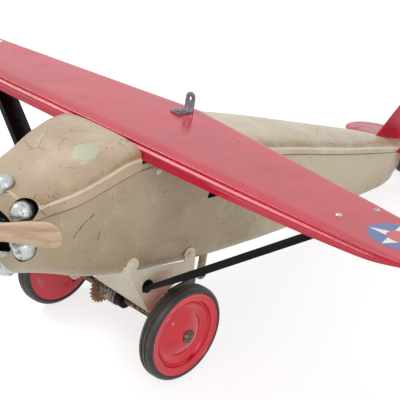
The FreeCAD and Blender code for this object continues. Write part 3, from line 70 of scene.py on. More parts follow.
class Slot(Enum):
    """The record's material slots."""

    KHAKI = "khaki_enamel"
    CRIMSON = "crimson_enamel"
    WHEEL = "wheel_enamel"
    BLACK = "black_enamel"
    RUBBER = "tyre_rubber"
    NICKEL = "nickel_plate"
    ZINC = "zinc_plate"
    STEEL = "bare_steel"
    RUST = "rusty_steel"
    WOOD = "blade_wood"
    BROWN = "brown_enamel"
    FIBRE = "pale_fibre"


# Cracks and worn places of the enamel, as places in millimetres along the fuselage's own axes
HULL_CRACKS = (((42.5, -62.0, 94.0), (43.5, -52.0, 97.0)), ((40.6, -95.0, 84.9), (41.5, -88.0, 94.4)),
               ((41.5, -88.0, 94.4), (42.5, -79.0, 101.4)))
HOOD_CRACKS = (((18.2, -60.0, 148.2), (27.0, -61.0, 147.0)), ((27.0, -61.0, 147.0), (34.0, -62.0, 145.4)),
               ((29.6, -53.0, 148.6), (36.0, -51.0, 147.2)), ((36.0, -51.0, 147.2), (43.0, -53.0, 143.5)))
HOOD_PATCH = (23.2, -78.0, 142.7)


def axle_centre() -> Vector:
    """Middle of the main axle, in metres."""
    low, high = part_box("main_axle")
    return (low + high) / 2


AXLE = axle_centre()
LEVEL = Matrix.Translation(AXLE) @ Matrix.Rotation(-math.radians(NOSE_UP), 4, "X")


def linear(code: str) -> tuple[float, float, float, float]:
    """Turns an sRGB hex colour to linear.

    Args:
        code: Six hex digits, with or without a hash.

    Returns:
        Red, green, blue and an alpha of 1.
    """
    digits = code.lstrip("#")
    values = [int(digits[place:place + 2], 16) / 255 for place in (0, 2, 4)]
    low_end = 0.04045
    return (*(v / 12.92 if v <= low_end else ((v + 0.055) / 1.055) ** 2.4 for v in values), 1.0)


def node(tree: bpy.types.NodeTree, kind: str, inputs: Optional[dict] = None,
         **settings: object) -> bpy.types.Node:
    """Adds a node with its settings and links.

    Args:
        tree: The node tree.
        kind: The node's type name.
        inputs: Socket name or number to a value or to the socket that feeds it.
        settings: The node's own properties.

    Returns:
        The new node.
    """
    made = tree.nodes.new(kind)
    for name, value in settings.items():
        setattr(made, name, value)
    for socket, value in (inputs or {}).items():
        if isinstance(value, bpy.types.NodeSocket):
            tree.links.new(value, made.inputs[socket])
        else:
            made.inputs[socket].default_value = value
    return made


def grey(value: float) -> tuple[float, float, float, float]:
    """A grey as a colour value."""
    return (value, value, value, 1.0)


# Materials


class Surface:
    """A material under construction: its tree, its coordinates and its principled shader."""

    def __init__(self, name: str) -> None:
        """Starts an empty material of that name."""
        self.material = bpy.data.materials.new(name)
        self.material.use_nodes = True
        self.tree = self.material.node_tree
        self.tree.nodes.clear()
        self.shader = node(self.tree, "ShaderNodeBsdfPrincipled")
        node(self.tree, "ShaderNodeOutputMaterial", {"Surface": self.shader.outputs[0]})
        self.place = node(self.tree, "ShaderNodeTexCoord").outputs["Object"]

    def constant(self, **values: object) -> None:
        """Sets sockets of the shader; a space in a socket's name is written as an underscore."""
        for name, value in values.items():
            self.shader.inputs[name.replace("_", " ")].default_value = value

    def noise(self, size_mm: float, detail: float = 3.0, stretch: Point = (1, 1, 1), rough: float = 0.55,
              warp: float = 0.0) -> bpy.types.NodeSocket:
        """Noise whose lumps are about size_mm across.

        Args:
            size_mm: Size of the lumps on the real object.
            detail: Number of finer layers.
            stretch: Scale along each axis.
            rough: Strength of the finer layers.
            warp: Distortion.

        Returns:
            The value's socket.
        """
        spot = node(self.tree, "ShaderNodeMapping", {"Vector": self.place, "Scale": stretch}).outputs[0]
        sockets = {"Vector": spot, "Scale": 1 / (size_mm * MM), "Detail": detail, "Roughness": rough,
                   "Distortion": warp}
        return node(self.tree, "ShaderNodeTexNoise", sockets).outputs[0]

    def vector(self, operation: str, first: object, second: object = None, scale: object = None,
               ) -> bpy.types.NodeSocket:
        """Vector arithmetic; a length, distance or dot product comes out as a value."""
        sockets = {0: first}
        if second is not None:
            sockets[1] = second
        if scale is not None:
            sockets["Scale"] = scale
        made = node(self.tree, "ShaderNodeVectorMath", sockets, operation=operation)
        return made.outputs["Value" if operation in ("LENGTH", "DISTANCE", "DOT_PRODUCT") else 0]

    def wander(self, scale: float, detail: float, reach_mm: float) -> bpy.types.NodeSocket:
        """The place, pushed about by noise of that reach."""
        sockets = {"Vector": self.place, "Scale": scale, "Detail": detail}
        lumps = node(self.tree, "ShaderNodeTexNoise", sockets)
        push = self.vector("SCALE", lumps.outputs["Color"], scale=reach_mm * MM)
        return self.vector("ADD", self.place, push)

    def cells(self, size_mm: float, feature: str = "F1",
              warp: Optional[float] = None) -> bpy.types.NodeSocket:
        """A cell pattern whose cells are about size_mm across, bent by noise where warp is given."""
        scale = 1 / (size_mm * MM)
        spot = self.place if warp is None else self.wander(scale, 4.0, warp)
        made = node(self.tree, "ShaderNodeTexVoronoi", {"Vector": spot, "Scale": scale}, feature=feature)
        return made.outputs["Distance"]

    def between(self, value: bpy.types.NodeSocket, low: float, high: float, start: float = 0.0,
                end: float = 1.0) -> bpy.types.NodeSocket:
        """A soft step: start at low, end at high."""
        return node(self.tree, "ShaderNodeMapRange", {"Value": value, "From Min": low, "From Max": high,
                                                      "To Min": start, "To Max": end},
                    interpolation_type="SMOOTHSTEP").outputs[0]

    def sum(self, operation: str, first: Union[float, bpy.types.NodeSocket],
            second: Union[float, bpy.types.NodeSocket] = 0.0) -> bpy.types.NodeSocket:
        """Arithmetic on two values."""
        return node(self.tree, "ShaderNodeMath", {0: first, 1: second}, operation=operation).outputs[0]

    def mix(self, factor: Union[float, bpy.types.NodeSocket], first: object,
            second: object) -> bpy.types.NodeSocket:
        """Mixes two colours."""
        made = node(self.tree, "ShaderNodeMix", {0: factor, 6: first, 7: second}, data_type="RGBA")
        return made.outputs[2]

    def axis(self, name: str) -> bpy.types.NodeSocket:
        """One coordinate of the place, in metres."""
        return node(self.tree, "ShaderNodeSeparateXYZ", {0: self.place}).outputs[name]

    def radius(self, centre: Point, plane: str) -> bpy.types.NodeSocket:
        """Distance in metres from an axis through centre (in mm), across the two axes named in plane."""
        keep = tuple(1.0 if name in plane else 0.0 for name in "XYZ")
        away = self.vector("SUBTRACT", self.place, tuple(c * MM for c in centre))
        return self.vector("LENGTH", self.vector("MULTIPLY", away, keep))

    def stroke(self, start: Point, end: Point, width_mm: float) -> bpy.types.NodeSocket:
        """A mask, 1 on a thin line from start to end (in mm) and 0 away from it."""
        reach = 2.2
        first, last = Vector(start) * MM, Vector(end) * MM
        run = last - first
        # The noise's mean pushes by half its reach along each axis
        middle = first + Vector((0.5, 0.5, 0.5)) * reach * MM
        away = self.vector("SUBTRACT", self.wander(400.0, 3.0, reach), tuple(middle))
        along = self.vector("DOT_PRODUCT", away, tuple(run / run.length_squared))
        held = node(self.tree, "ShaderNodeClamp", {0: along}).outputs[0]
        foot = self.vector("SCALE", tuple(run), scale=held)
        gap = self.vector("DISTANCE", away, foot)
        return self.between(gap, 0.5 * width_mm * MM, width_mm * MM, 1.0, 0.0)

    def bump(self, height: bpy.types.NodeSocket, depth_mm: float) -> None:
        """Gives the shader relief of that depth."""
        sockets = {"Height": height, "Distance": depth_mm * MM, "Strength": 1.0}
        made = node(self.tree, "ShaderNodeBump", sockets)
        self.tree.links.new(made.outputs[0], self.shader.inputs["Normal"])

    def drive(self, socket: str, value: bpy.types.NodeSocket) -> None:
        """Links a varying value to the shader."""
        self.tree.links.new(value, self.shader.inputs[socket])


@dataclass(frozen=True)
class AgedEnamel:
    """Dipped enamel on pressed steel, some ninety years old.

    It shades in clouds, is darker towards the bottom, and has chips down to a brown primer, short cracks and
    dark pits.
    """

    name: str
    colour: str = "#B9A987"
    cloud: str = "#A99976"
    pale: str = "#C6B898"
    grime: str = "#86704F"
    chip: str = "#5E4835"
    wear: float = 0.5
    rough: float = 0.4
    strokes: tuple[tuple[Point, Point], ...] = ()
    patch: Optional[Point] = None
    darkening: float = 0.75
    bend_light: bool = False
    painted_light_span: Optional[tuple[float, float]] = None

    def make(self) -> bpy.types.Material:
        """Builds the material."""
        s = Surface(self.name)
        clouds = s.between(s.noise(70.0, 4.0), 0.38, 0.64)
        base = s.mix(clouds, linear(self.colour), linear(self.cloud))
        base = s.mix(s.between(s.noise(24.0, 5.0, rough=0.7), 0.52, 0.72, 0.0, 0.45), base, linear(self.pale))
        # Painted light: paler along the fuselage between these two places in mm, where the hull stands out of
        # the wing's shade
        if self.painted_light_span is not None:
            start, end = self.painted_light_span
            base = s.mix(s.between(s.axis("Y"), start * MM, end * MM, 0.0, 0.75), base, linear(self.pale))
        # Darker towards the bottom, in patches
        low = s.between(s.axis("Z"), 0.030, 0.085, self.darkening, 0.0)
        low_darkening = s.sum("MULTIPLY", low, s.between(s.noise(30.0, 5.0, rough=0.65), 0.3, 0.7))
        base = s.mix(low_darkening, base, linear(self.grime))
        # Streaky stains that run along the sheet
        stain_and_shade = s.between(s.noise(9.0, 6.0, (0.5, 0.35, 1.2), 0.75), 0.56, 0.74, 0.0, 0.4)
        base = s.mix(stain_and_shade, base, linear(self.grime))
        if self.patch is not None:
            ragged = s.between(s.noise(6.0, 4.0), 0.2, 0.8, -2.5 * MM, 2.5 * MM)
            spot = s.sum("ADD", s.radius(self.patch, "XY"), ragged)
            base = s.mix(s.between(spot, 0.0085, 0.0105, 1.0, 0.0), base, linear("#B9BAA0"))
        if self.bend_light:
            base = self.paint_bend_light(s, base)
        # Chips of 1 to 3 mm in groups, and pits of about half a millimetre
        groups = s.between(s.noise(48.0, 2.0), 0.6 - 0.2 * self.wear, 0.72 - 0.12 * self.wear)
        chips = s.sum("MULTIPLY", groups, s.between(s.noise(4.2, 5.0, rough=0.7, warp=0.6), 0.62, 0.66))
        pits = s.sum("MULTIPLY", s.between(s.cells(7.0), 0.07, 0.11, 1.0, 0.0),
                     s.between(s.noise(18.0, 2.0), 0.5, 0.6))
        crack_line = s.between(s.cells(21.0, feature="DISTANCE_TO_EDGE", warp=9.0), 0.004, 0.012, 1.0, 0.0)
        cracks = s.sum("MULTIPLY", crack_line, s.between(s.noise(34.0, 3.0), 0.6, 0.66))
        damage = s.sum("MAXIMUM", chips, s.sum("MAXIMUM", pits, cracks))
        for start, end in self.strokes:
            damage = s.sum("MAXIMUM", damage, s.stroke(start, end, 0.5))
        base = s.mix(s.sum("MULTIPLY", damage, 0.9), base, linear(self.chip))
        s.drive("Base Color", base)
        fine = s.noise(2.2, 3.0)
        s.drive("Roughness", s.sum("ADD", s.between(fine, 0.3, 0.7, self.rough - 0.06, self.rough + 0.08),
                                   s.sum("MULTIPLY", damage, 0.3)))
        height = s.sum("ADD", s.sum("MULTIPLY", damage, -1.0), s.sum("MULTIPLY", s.noise(26.0, 2.0), 1.6))
        s.bump(s.sum("ADD", height, s.sum("MULTIPLY", fine, 0.12)), 0.16)
        s.constant(IOR=1.5, Coat_Weight=0.15, Coat_Roughness=0.3)
        return s.material

    def paint_bend_light(self, s: Surface, base: bpy.types.NodeSocket) -> bpy.types.NodeSocket:
        """Adds what follows the bends: a painted highlight along the ridge, a painted ochre shade above it,
        and painted shade with grime at the seam.

        Args:
            s: The surface.
            base: Its colour so far.

        Returns:
            The new colour.
        """
        ridge = node(s.tree, "ShaderNodeAttribute", attribute_name=RIDGE_RISE).outputs["Fac"]
        seam = node(s.tree, "ShaderNodeAttribute", attribute_name=SEAM_RISE).outputs["Fac"]
        wander = s.between(s.noise(15.0, 4.0), 0.25, 0.75, -0.7, 0.7)
        above = s.sum("ADD", ridge, wander)
        # Painted shade: an ochre band above the ridge, where the crown turns away from the light
        stain_and_shade = s.sum("MULTIPLY", s.between(above, 0.2, 1.2), s.between(above, 2.0, 7.5, 1.0, 0.0))
        wear_and_shade_share = s.between(s.noise(19.0, 4.0, rough=0.65), 0.32, 0.62, 0.25, 0.85)
        base = s.mix(s.sum("MULTIPLY", stain_and_shade, wear_and_shade_share), base, linear("#A08259"))
        # Painted highlight: a pale line along the ridge
        line = s.sum("MULTIPLY", s.between(ridge, -1.9, -0.5), s.between(ridge, 0.1, 0.5, 1.0, 0.0))
        base = s.mix(s.sum("MULTIPLY", line, 0.8), base, linear("#E9DFC9"))
        # Painted shade with grime: a dark line just under the band's lower edge, at the seam
        seam_shade_and_grime = s.sum("MULTIPLY", s.between(seam, -2.2, -0.2), s.between(seam, 0.2, 0.8, 1.0, 0.0))
        return s.mix(s.sum("MULTIPLY", seam_shade_and_grime, 0.8), base, linear("#4E3F2E"))


@dataclass(frozen=True)
class GlossEnamel:
    """Sprayed and baked gloss enamel: a deep colour and a sharp sheen, with dust specks and fine rubbing."""

    name: str
    colour: str
    deep: str
    rough: float = 0.16
    coat: float = 0.1
    wear: float = 0.3
    scuff: str = "#3A1512"
    gloss: float = 0.5

    def make(self) -> bpy.types.Material:
        """Builds the material."""
        s = Surface(self.name)
        base = s.mix(s.between(s.noise(60.0, 4.0), 0.35, 0.7), linear(self.colour), linear(self.deep))
        specks = s.sum("MULTIPLY", s.between(s.cells(11.0), 0.045, 0.07, 1.0, 0.0),
                       s.between(s.noise(26.0, 2.0), 0.52, 0.62))
        groups = s.between(s.noise(52.0, 2.0), 0.66 - 0.2 * self.wear, 0.74 - 0.1 * self.wear)
        chips = s.sum("MULTIPLY", groups, s.between(s.noise(3.4, 5.0, rough=0.7, warp=0.5), 0.64, 0.67))
        damage = s.sum("MAXIMUM", specks, chips)
        s.drive("Base Color", s.mix(s.sum("MULTIPLY", damage, 0.85), base, linear(self.scuff)))
        rubs = s.noise(14.0, 5.0, (1.0, 0.25, 1.0), 0.7)
        rubbed = s.between(rubs, 0.35, 0.75, self.rough * 0.7, self.rough * 1.9)
        s.drive("Roughness", s.sum("ADD", rubbed, s.sum("MULTIPLY", damage, 0.35)))
        height = s.sum("ADD", s.sum("MULTIPLY", s.noise(40.0, 2.0), 1.8), s.sum("MULTIPLY", damage, -0.5))
        s.bump(s.sum("ADD", height, s.sum("MULTIPLY", s.noise(1.6, 2.0), 0.05)), 0.12)
        s.constant(IOR=1.5, Specular_IOR_Level=self.gloss)
        s.constant(Coat_Weight=self.coat, Coat_Roughness=0.06, Coat_IOR=1.5)
        return s.material


@dataclass(frozen=True)
class MouldedRubber:
    """Vulcanised black rubber: matt, greyed by bloom on the wall and brown with dust on the tread."""

    name: str
    centre: Point = (0.0, 0.0, 0.0)
    tread_mm: float = 38.6
    colour: str = "#1F2223"
    bloom: str = "#3A4042"
    dust: str = "#5A4E3F"

    def make(self) -> bpy.types.Material:
        """Builds the material."""
        s = Surface(self.name)
        bloom = s.between(s.noise(16.0, 5.0, rough=0.65), 0.35, 0.7)
        base = s.mix(bloom, linear(self.colour), linear(self.bloom))
        away = s.radius(self.centre, "YZ")
        wear_and_shade_share = s.between(away, (self.tread_mm - 0.5) * MM, (self.tread_mm + 0.6) * MM)
        dusty = s.sum("MULTIPLY", wear_and_shade_share, s.between(s.noise(7.0, 5.0, rough=0.7), 0.3, 0.66, 0.15, 0.85))
        s.drive("Base Color", s.mix(dusty, base, linear(self.dust)))
        fine = s.noise(1.3, 3.0)
        s.drive("Roughness", s.between(fine, 0.3, 0.7, 0.36, 0.56))
        s.bump(s.sum("ADD", fine, s.sum("MULTIPLY", s.noise(9.0, 2.0), 2.0)), 0.08)
        s.constant(IOR=1.52)
        return s.material


@dataclass(frozen=True)
class WornMetal:
    """Bare or plated metal: tarnish in patches, dirt in the low spots and fine rubbing."""

    name: str
    colour: str
    tarnish: str
    rough: float = 0.3
    patches: float = 0.5
    grain_mm: float = 5.0
    metallic: float = 1.0
    relief_mm: float = 0.05

    def make(self) -> bpy.types.Material:
        """Builds the material."""
        s = Surface(self.name)
        mask = s.between(s.noise(self.grain_mm, 6.0, rough=0.7, warp=0.4), 0.62 - 0.3 * self.patches,
                         0.78 - 0.3 * self.patches)
        s.drive("Base Color", s.mix(mask, linear(self.colour), linear(self.tarnish)))
        fine = s.between(s.noise(2.0, 3.0), 0.3, 0.7, self.rough, self.rough + 0.15)
        s.drive("Roughness", s.sum("ADD", fine, s.sum("MULTIPLY", mask, 0.3)))
        s.drive("Metallic", s.between(mask, 0.0, 1.0, self.metallic, self.metallic * 0.35))
        s.bump(s.sum("ADD", s.noise(1.1, 3.0), s.sum("MULTIPLY", mask, -0.8)), self.relief_mm)
        return s.material


@dataclass(frozen=True)
class BareWood:
    """A close-grained hardwood such as birch, sawn and sanded, with no varnish left.

    The grain runs along the blade; pores show as short brown dashes and it is paler in broad patches.
    """

    name: str
    turn_deg: float
    colour: str = "#D3B79A"
    dark: str = "#BC987A"
    pore: str = "#8C6844"

    def make(self) -> bpy.types.Material:
        """Builds the material."""
        s = Surface(self.name)
        turn = (0, math.radians(self.turn_deg), 0)
        s.place = node(s.tree, "ShaderNodeMapping", {"Vector": s.place, "Rotation": turn}).outputs[0]
        bands = s.between(s.noise(5.0, 4.0, (0.09, 1.0, 1.0), 0.6), 0.35, 0.68)
        base = s.mix(bands, linear(self.colour), linear(self.dark))
        base = s.mix(s.between(s.noise(45.0, 3.0), 0.45, 0.75, 0.0, 0.4), base, linear("#D9C0A0"))
        pores = s.between(s.noise(1.4, 3.0, (0.08, 1.0, 1.0), 0.6), 0.6, 0.72, 0.0, 0.55)
        base = s.mix(pores, base, linear(self.pore))
        darkening = s.sum("MULTIPLY", s.between(s.noise(12.0, 5.0, rough=0.7), 0.55, 0.75), 0.4)
        base = s.mix(darkening, base, linear("#9A7A5C"))
        s.drive("Base Color", base)
        s.drive("Roughness", s.between(bands, 0.0, 1.0, 0.5, 0.62))
        s.bump(s.sum("SUBTRACT", s.noise(30.0, 2.0), s.sum("MULTIPLY", pores, 0.6)), 0.12)
        s.constant(IOR=1.53)
        return s.material


@dataclass(frozen=True)
class PrintedDisc:
    """Thin flat paint of an ornament on the wing, rubbed through in spots."""

    name: str
    colour: str
    rubbed: str

    def make(self) -> bpy.types.Material:
        """Builds the material."""
        s = Surface(self.name)
        rub = s.between(s.noise(5.0, 6.0, rough=0.7), 0.58, 0.74, 0.0, 0.5)
        s.drive("Base Color", s.mix(rub, linear(self.colour), linear(self.rubbed)))
        s.drive("Roughness", s.between(s.noise(9.0, 4.0), 0.3, 0.7, 0.2, 0.34))
        s.bump(s.noise(1.6, 2.0), 0.01)
        s.constant(IOR=1.5, Coat_Weight=0.4, Coat_Roughness=0.08)
        return s.material


# Mesh helpers


def mesh_object(name: str, points: Sequence[Sequence[float]], faces: Sequence[Sequence[int]],
                materials: Sequence[bpy.types.Material], slots: Optional[Sequence[int]] = None,
                sharp_deg: float = 40.0) -> bpy.types.Object:
    """Makes an object from points in millimetres in the level fuselage's axes.

    Args:
        name: The piece's name.
        points: Corners.
        faces: Corner numbers of each face.
        materials: The piece's materials.
        slots: Material number of each face.
        sharp_deg: Edges that turn more than this stay sharp.

    Returns:
        The object, stood on its wheels like the frame.
    """
    mesh = bpy.data.meshes.new(name)
    mesh.from_pydata([tuple(c * MM for c in point) for point in points], [], faces)
    for material in materials:
        mesh.materials.append(material)
    if slots is not None:
        mesh.polygons.foreach_set("material_index", list(slots))
    clean(mesh, sharp_deg)
    thing = bpy.data.objects.new(name, mesh)
    bpy.context.scene.collection.objects.link(thing)
    thing.matrix_world = LEVEL
    return thing


def clean(mesh: bpy.types.Mesh, sharp_deg: float, weld: float = 1e-6) -> None:
    """Welds doubled corners, points all faces outwards and smooths all but the sharp edges."""
    work = bmesh.new()
    work.from_mesh(mesh)
    bmesh.ops.remove_doubles(work, verts=work.verts, dist=weld)
    bmesh.ops.recalc_face_normals(work, faces=work.faces)
    work.to_mesh(mesh)
    work.free()
    mesh.shade_smooth()
    mesh.set_sharp_from_angle(angle=math.radians(sharp_deg))


def grid_faces(rows: int, columns: int, wrap_rows: bool = False, wrap_columns: bool = False,
               start: int = 0) -> list[tuple[int, int, int, int]]:
    """Faces of a grid of corners that are numbered row by row."""
    faces = []
    for row in range(rows if wrap_rows else rows - 1):
        for column in range(columns if wrap_columns else columns - 1):
            after, beside = (row + 1) % rows, (column + 1) % columns
            faces.append((start + row * columns + column, start + row * columns + beside,
                          start + after * columns + beside, start + after * columns + column))
    return faces


def shell(outer: np.ndarray, inner: np.ndarray) -> tuple[np.ndarray, list[tuple[int, ...]]]:
    """Closes the space between two open grids of the same size, rows by columns by 3."""
    rows, columns = outer.shape[:2]
    half = rows * columns
    points = np.concatenate([outer.reshape(-1, 3), inner.reshape(-1, 3)])
    faces: list[tuple[int, ...]] = list(grid_faces(rows, columns)) + [
        tuple(reversed(face)) for face in grid_faces(rows, columns, start=half)]
    rim = [(0, column) for column in range(columns)] + [(row, columns - 1) for row in range(1, rows)]
    rim += [(rows - 1, column) for column in range(columns - 2, -1, -1)]
    rim += [(row, 0) for row in range(rows - 2, 0, -1)]
    for index, (row, column) in enumerate(rim):
        next_row, next_column = rim[(index + 1) % len(rim)]
        first, second = row * columns + column, next_row * columns + next_column
        faces.append((first, second, half + second, half + first))
    return points, faces


def apply_modifiers(thing: bpy.types.Object, sharp_deg: float = 40.0) -> None:
    """Turns the object's modifiers into plain mesh."""
    graph = bpy.context.evaluated_depsgraph_get()
    mesh = bpy.data.meshes.new_from_object(thing.evaluated_get(graph))
    thing.modifiers.clear()
    old = thing.data
    thing.data = mesh
    bpy.data.meshes.remove(old)
    mesh.name = thing.name
    mesh.shade_smooth()
    mesh.set_sharp_from_angle(angle=math.radians(sharp_deg))


def carve(thing: bpy.types.Object, cutters: Sequence[bpy.types.Object], sharp_deg: float = 40.0) -> None:
    """Cuts holes through a piece and removes the cutters."""
    for cutter in cutters:
        hole = thing.modifiers.new("hole", "BOOLEAN")
        hole.object = cutter
        hole.operation = "DIFFERENCE"
        hole.solver = "EXACT"
    apply_modifiers(thing, sharp_deg)
    for cutter in cutters:
        bpy.data.objects.remove(cutter)


def lathe(name: str, profile: Sequence[tuple[float, float]], material: bpy.types.Material, start: Point,
          along: Point, steps: int = 96, sharp_deg: float = 35.0) -> bpy.types.Object:
    """A closed turned piece.

    Args:
        name: The piece's name.
        profile: A closed outline of (distance along the axis, radius) in millimetres.
        material: Its material.
        start: Zero of the distance along the axis.
        along: The axis.
        steps: Corners round the turn.
        sharp_deg: Edges that turn more than this stay sharp.

    Returns:
        The object.
    """
    axis = Vector(along).normalized()
    first = axis.orthogonal().normalized()
    second = axis.cross(first)
    points = []
    for step in range(steps):
        turn = 2 * math.pi * step / steps
        out = first * math.cos(turn) + second * math.sin(turn)
        points += [Vector(start) + axis * far + out * reach for far, reach in profile]
    faces = grid_faces(steps, len(profile), True, True)
    return mesh_object(name, points, faces, [material], sharp_deg=sharp_deg)


def rounded(corners: Sequence[tuple[float, float]], radii: Sequence[float], steps: int = 5,
            ) -> list[tuple[float, float]]:
    """A closed outline with each corner rounded by its own radius."""
    path = []
    count = len(corners)
    for index, (corner, radius) in enumerate(zip(corners, radii)):
        here = Vector(corner)
        before = Vector(corners[index - 1]) - here
        after = Vector(corners[(index + 1) % count]) - here
        if radius <= 0:
            path.append(tuple(here))
            continue
        half = before.angle(after) / 2
        trim = min(radius / math.tan(half), 0.49 * before.length, 0.49 * after.length)
        first, last = here + before.normalized() * trim, here + after.normalized() * trim
        for step in range(steps + 1):
            share = step / steps
            path.append(tuple(first * (1 - share) ** 2 + here * 2 * share * (1 - share) + last * share ** 2))
    return path


def place(thing: bpy.types.Object, body: Body, slot: Slot, *nodes: str) -> bpy.types.Object:
    """Rides a piece on its body and lets it stand for CAD nodes."""
    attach(thing, body.value)
    if nodes:
        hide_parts(*nodes)
    log.info("%s rides on %s", thing.name, body.value)
    return thing


def dress(names: Sequence[str], material: bpy.types.Material) -> None:
    """Gives CAD nodes a material and leaves them where they are."""
    for name in names:
        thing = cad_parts[name]
        for index in range(len(thing.material_slots)):
            thing.material_slots[index].material = material
        log.info("%s is dressed", name)


def softened(name: str, bevel_mm: float, material: bpy.types.Material, body: Body, slot: Slot,
             sharp_deg: float = 35.0) -> bpy.types.Object:
    """A copy of a CAD node with broken edges, as pressing or turning leaves them.

    Args:
        name: The node.
        bevel_mm: Width of the broken edge.
        material: Its material.
        body: The body that it rides on.
        slot: The record's slot, which is passed on but not used.
        sharp_deg: Edges that turn more than this get the bevel.

    Returns:
        The new piece, which replaces the node.
    """
    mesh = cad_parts[name].data.copy()
    mesh.materials.clear()
    mesh.materials.append(material)
    work = bmesh.new()
    work.from_mesh(mesh)
    bmesh.ops.remove_doubles(work, verts=work.verts, dist=1e-6)
    bmesh.ops.dissolve_limit(work, angle_limit=math.radians(1.0), verts=work.verts, edges=work.edges)
    bmesh.ops.recalc_face_normals(work, faces=work.faces)
    for face in work.faces:
        face.material_index = 0
    work.to_mesh(mesh)
    work.free()
    thing = bpy.data.objects.new(f"{name}_finished", mesh)
    bpy.context.scene.collection.objects.link(thing)
    bevel = thing.modifiers.new("broken_edge", "BEVEL")
    bevel.width = bevel_mm * MM
    bevel.segments = 2
    bevel.limit_method = "ANGLE"
    bevel.angle_limit = math.radians(sharp_deg)
    bevel.use_clamp_overlap = True
    apply_modifiers(thing, sharp_deg)
    return place(thing, body, slot, name)


# Fuselage


@dataclass(frozen=True)
class Station:
    """One section of the fuselage: its place along it and the sizes of hull and upper shell."""

    place: float
    wide: float
    low: float
    round: float
    seam: float
    ridge: float
    crown: float
    full: float


STATIONS = (
    Station(-138.0, 26.0, 65.5, 17.0, 90.0, 92.0, 102.7, 2.0),
    Station(-132.0, 34.6, 52.0, 30.0, 101.5, 111.0, 117.0, 2.0),
    Station(-112.0, 37.5, 50.5, 26.0, 106.0, 115.5, 124.5, 2.1),
    Station(-96.0, 40.5, 48.5, 23.0, 110.0, 120.5, 133.5, 2.2),
    Station(-75.0, 43.0, 44.0, 20.0, 118.5, 129.0, 146.0, 2.6),
    Station(-54.0, 45.0, 42.0, 18.0, 127.0, 138.0, 149.6, 3.0),
    Station(-42.4, 45.5, 41.0, 17.0, 130.5, 140.0, 150.0, 3.2),
    Station(0.0, 45.0, 38.0, 17.0, 133.0, 139.0, 148.0, 3.0),
    Station(51.0, 45.0, 36.5, 17.0, 131.0, 136.5, 144.0, 2.4),
    Station(113.0, 43.0, 37.5, 16.0, 121.7, 127.2, 136.6, 2.2),
    Station(169.0, 38.5, 39.0, 14.0, 112.7, 118.2, 127.5, 2.1),
    Station(228.0, 33.0, 42.0, 12.0, 102.5, 108.0, 116.5, 2.0),
    Station(281.0, 27.0, 46.0, 11.0, 94.0, 99.5, 106.6, 2.0),
    Station(327.0, 21.0, 48.5, 9.0, 86.8, 91.5, 96.8, 2.0),
    Station(343.0, 17.0, 50.5, 8.0, 84.0, 88.0, 92.6, 2.0),
    Station(358.0, 10.0, 54.0, 6.0, 81.5, 85.2, 89.8, 2.0),
    Station(374.0, 4.0, 60.0, 2.8, 79.0, 82.6, 87.2, 2.0),
)


def smooth_value(places: np.ndarray, values: np.ndarray, spot: float) -> float:
    """A cubic through the values that doesn't overshoot them."""
    index = int(np.clip(np.searchsorted(places, spot) - 1, 0, len(places) - 2))
    runs = np.diff(places)
    rises = np.diff(values) / runs
    slopes = np.zeros(len(values))
    slopes[0], slopes[-1] = rises[0], rises[-1]
    for inner in range(1, len(values) - 1):
        before, after = rises[inner - 1], rises[inner]
        if before * after > 0:
            weight = 2 * runs[inner] + runs[inner - 1], runs[inner] + 2 * runs[inner - 1]
            slopes[inner] = sum(weight) / (weight[0] / before + weight[1] / after)
    width = runs[index]
    share = (spot - places[index]) / width
    rest = 1 - share
    return float(values[index] * rest ** 2 * (1 + 2 * share) + values[index + 1] * share ** 2 * (1 + 2 * rest)
                 + width * (slopes[index] * share * rest ** 2 - slopes[index + 1] * share ** 2 * rest))


def section_at(place_mm: float) -> Station:
    """The fuselage's section at any place; the nose rounds into its rim as a quarter ellipse."""
    lip, nose = STATIONS[0], STATIONS[1]
    keys = ("wide", "low", "round", "seam", "ridge", "crown", "full")
    if place_mm < nose.place:
        share = (nose.place - place_mm) / (nose.place - lip.place)
        swell = math.sqrt(max(0.0, 1 - share ** 2))
        sizes = [getattr(lip, key) + (getattr(nose, key) - getattr(lip, key)) * swell for key in keys]
    else:
        places = np.array([station.place for station in STATIONS[1:]])
        sizes = [smooth_value(places, np.array([getattr(station, key) for station in STATIONS[1:]]), place_mm)
                 for key in keys]
    return Station(place_mm, *sizes)


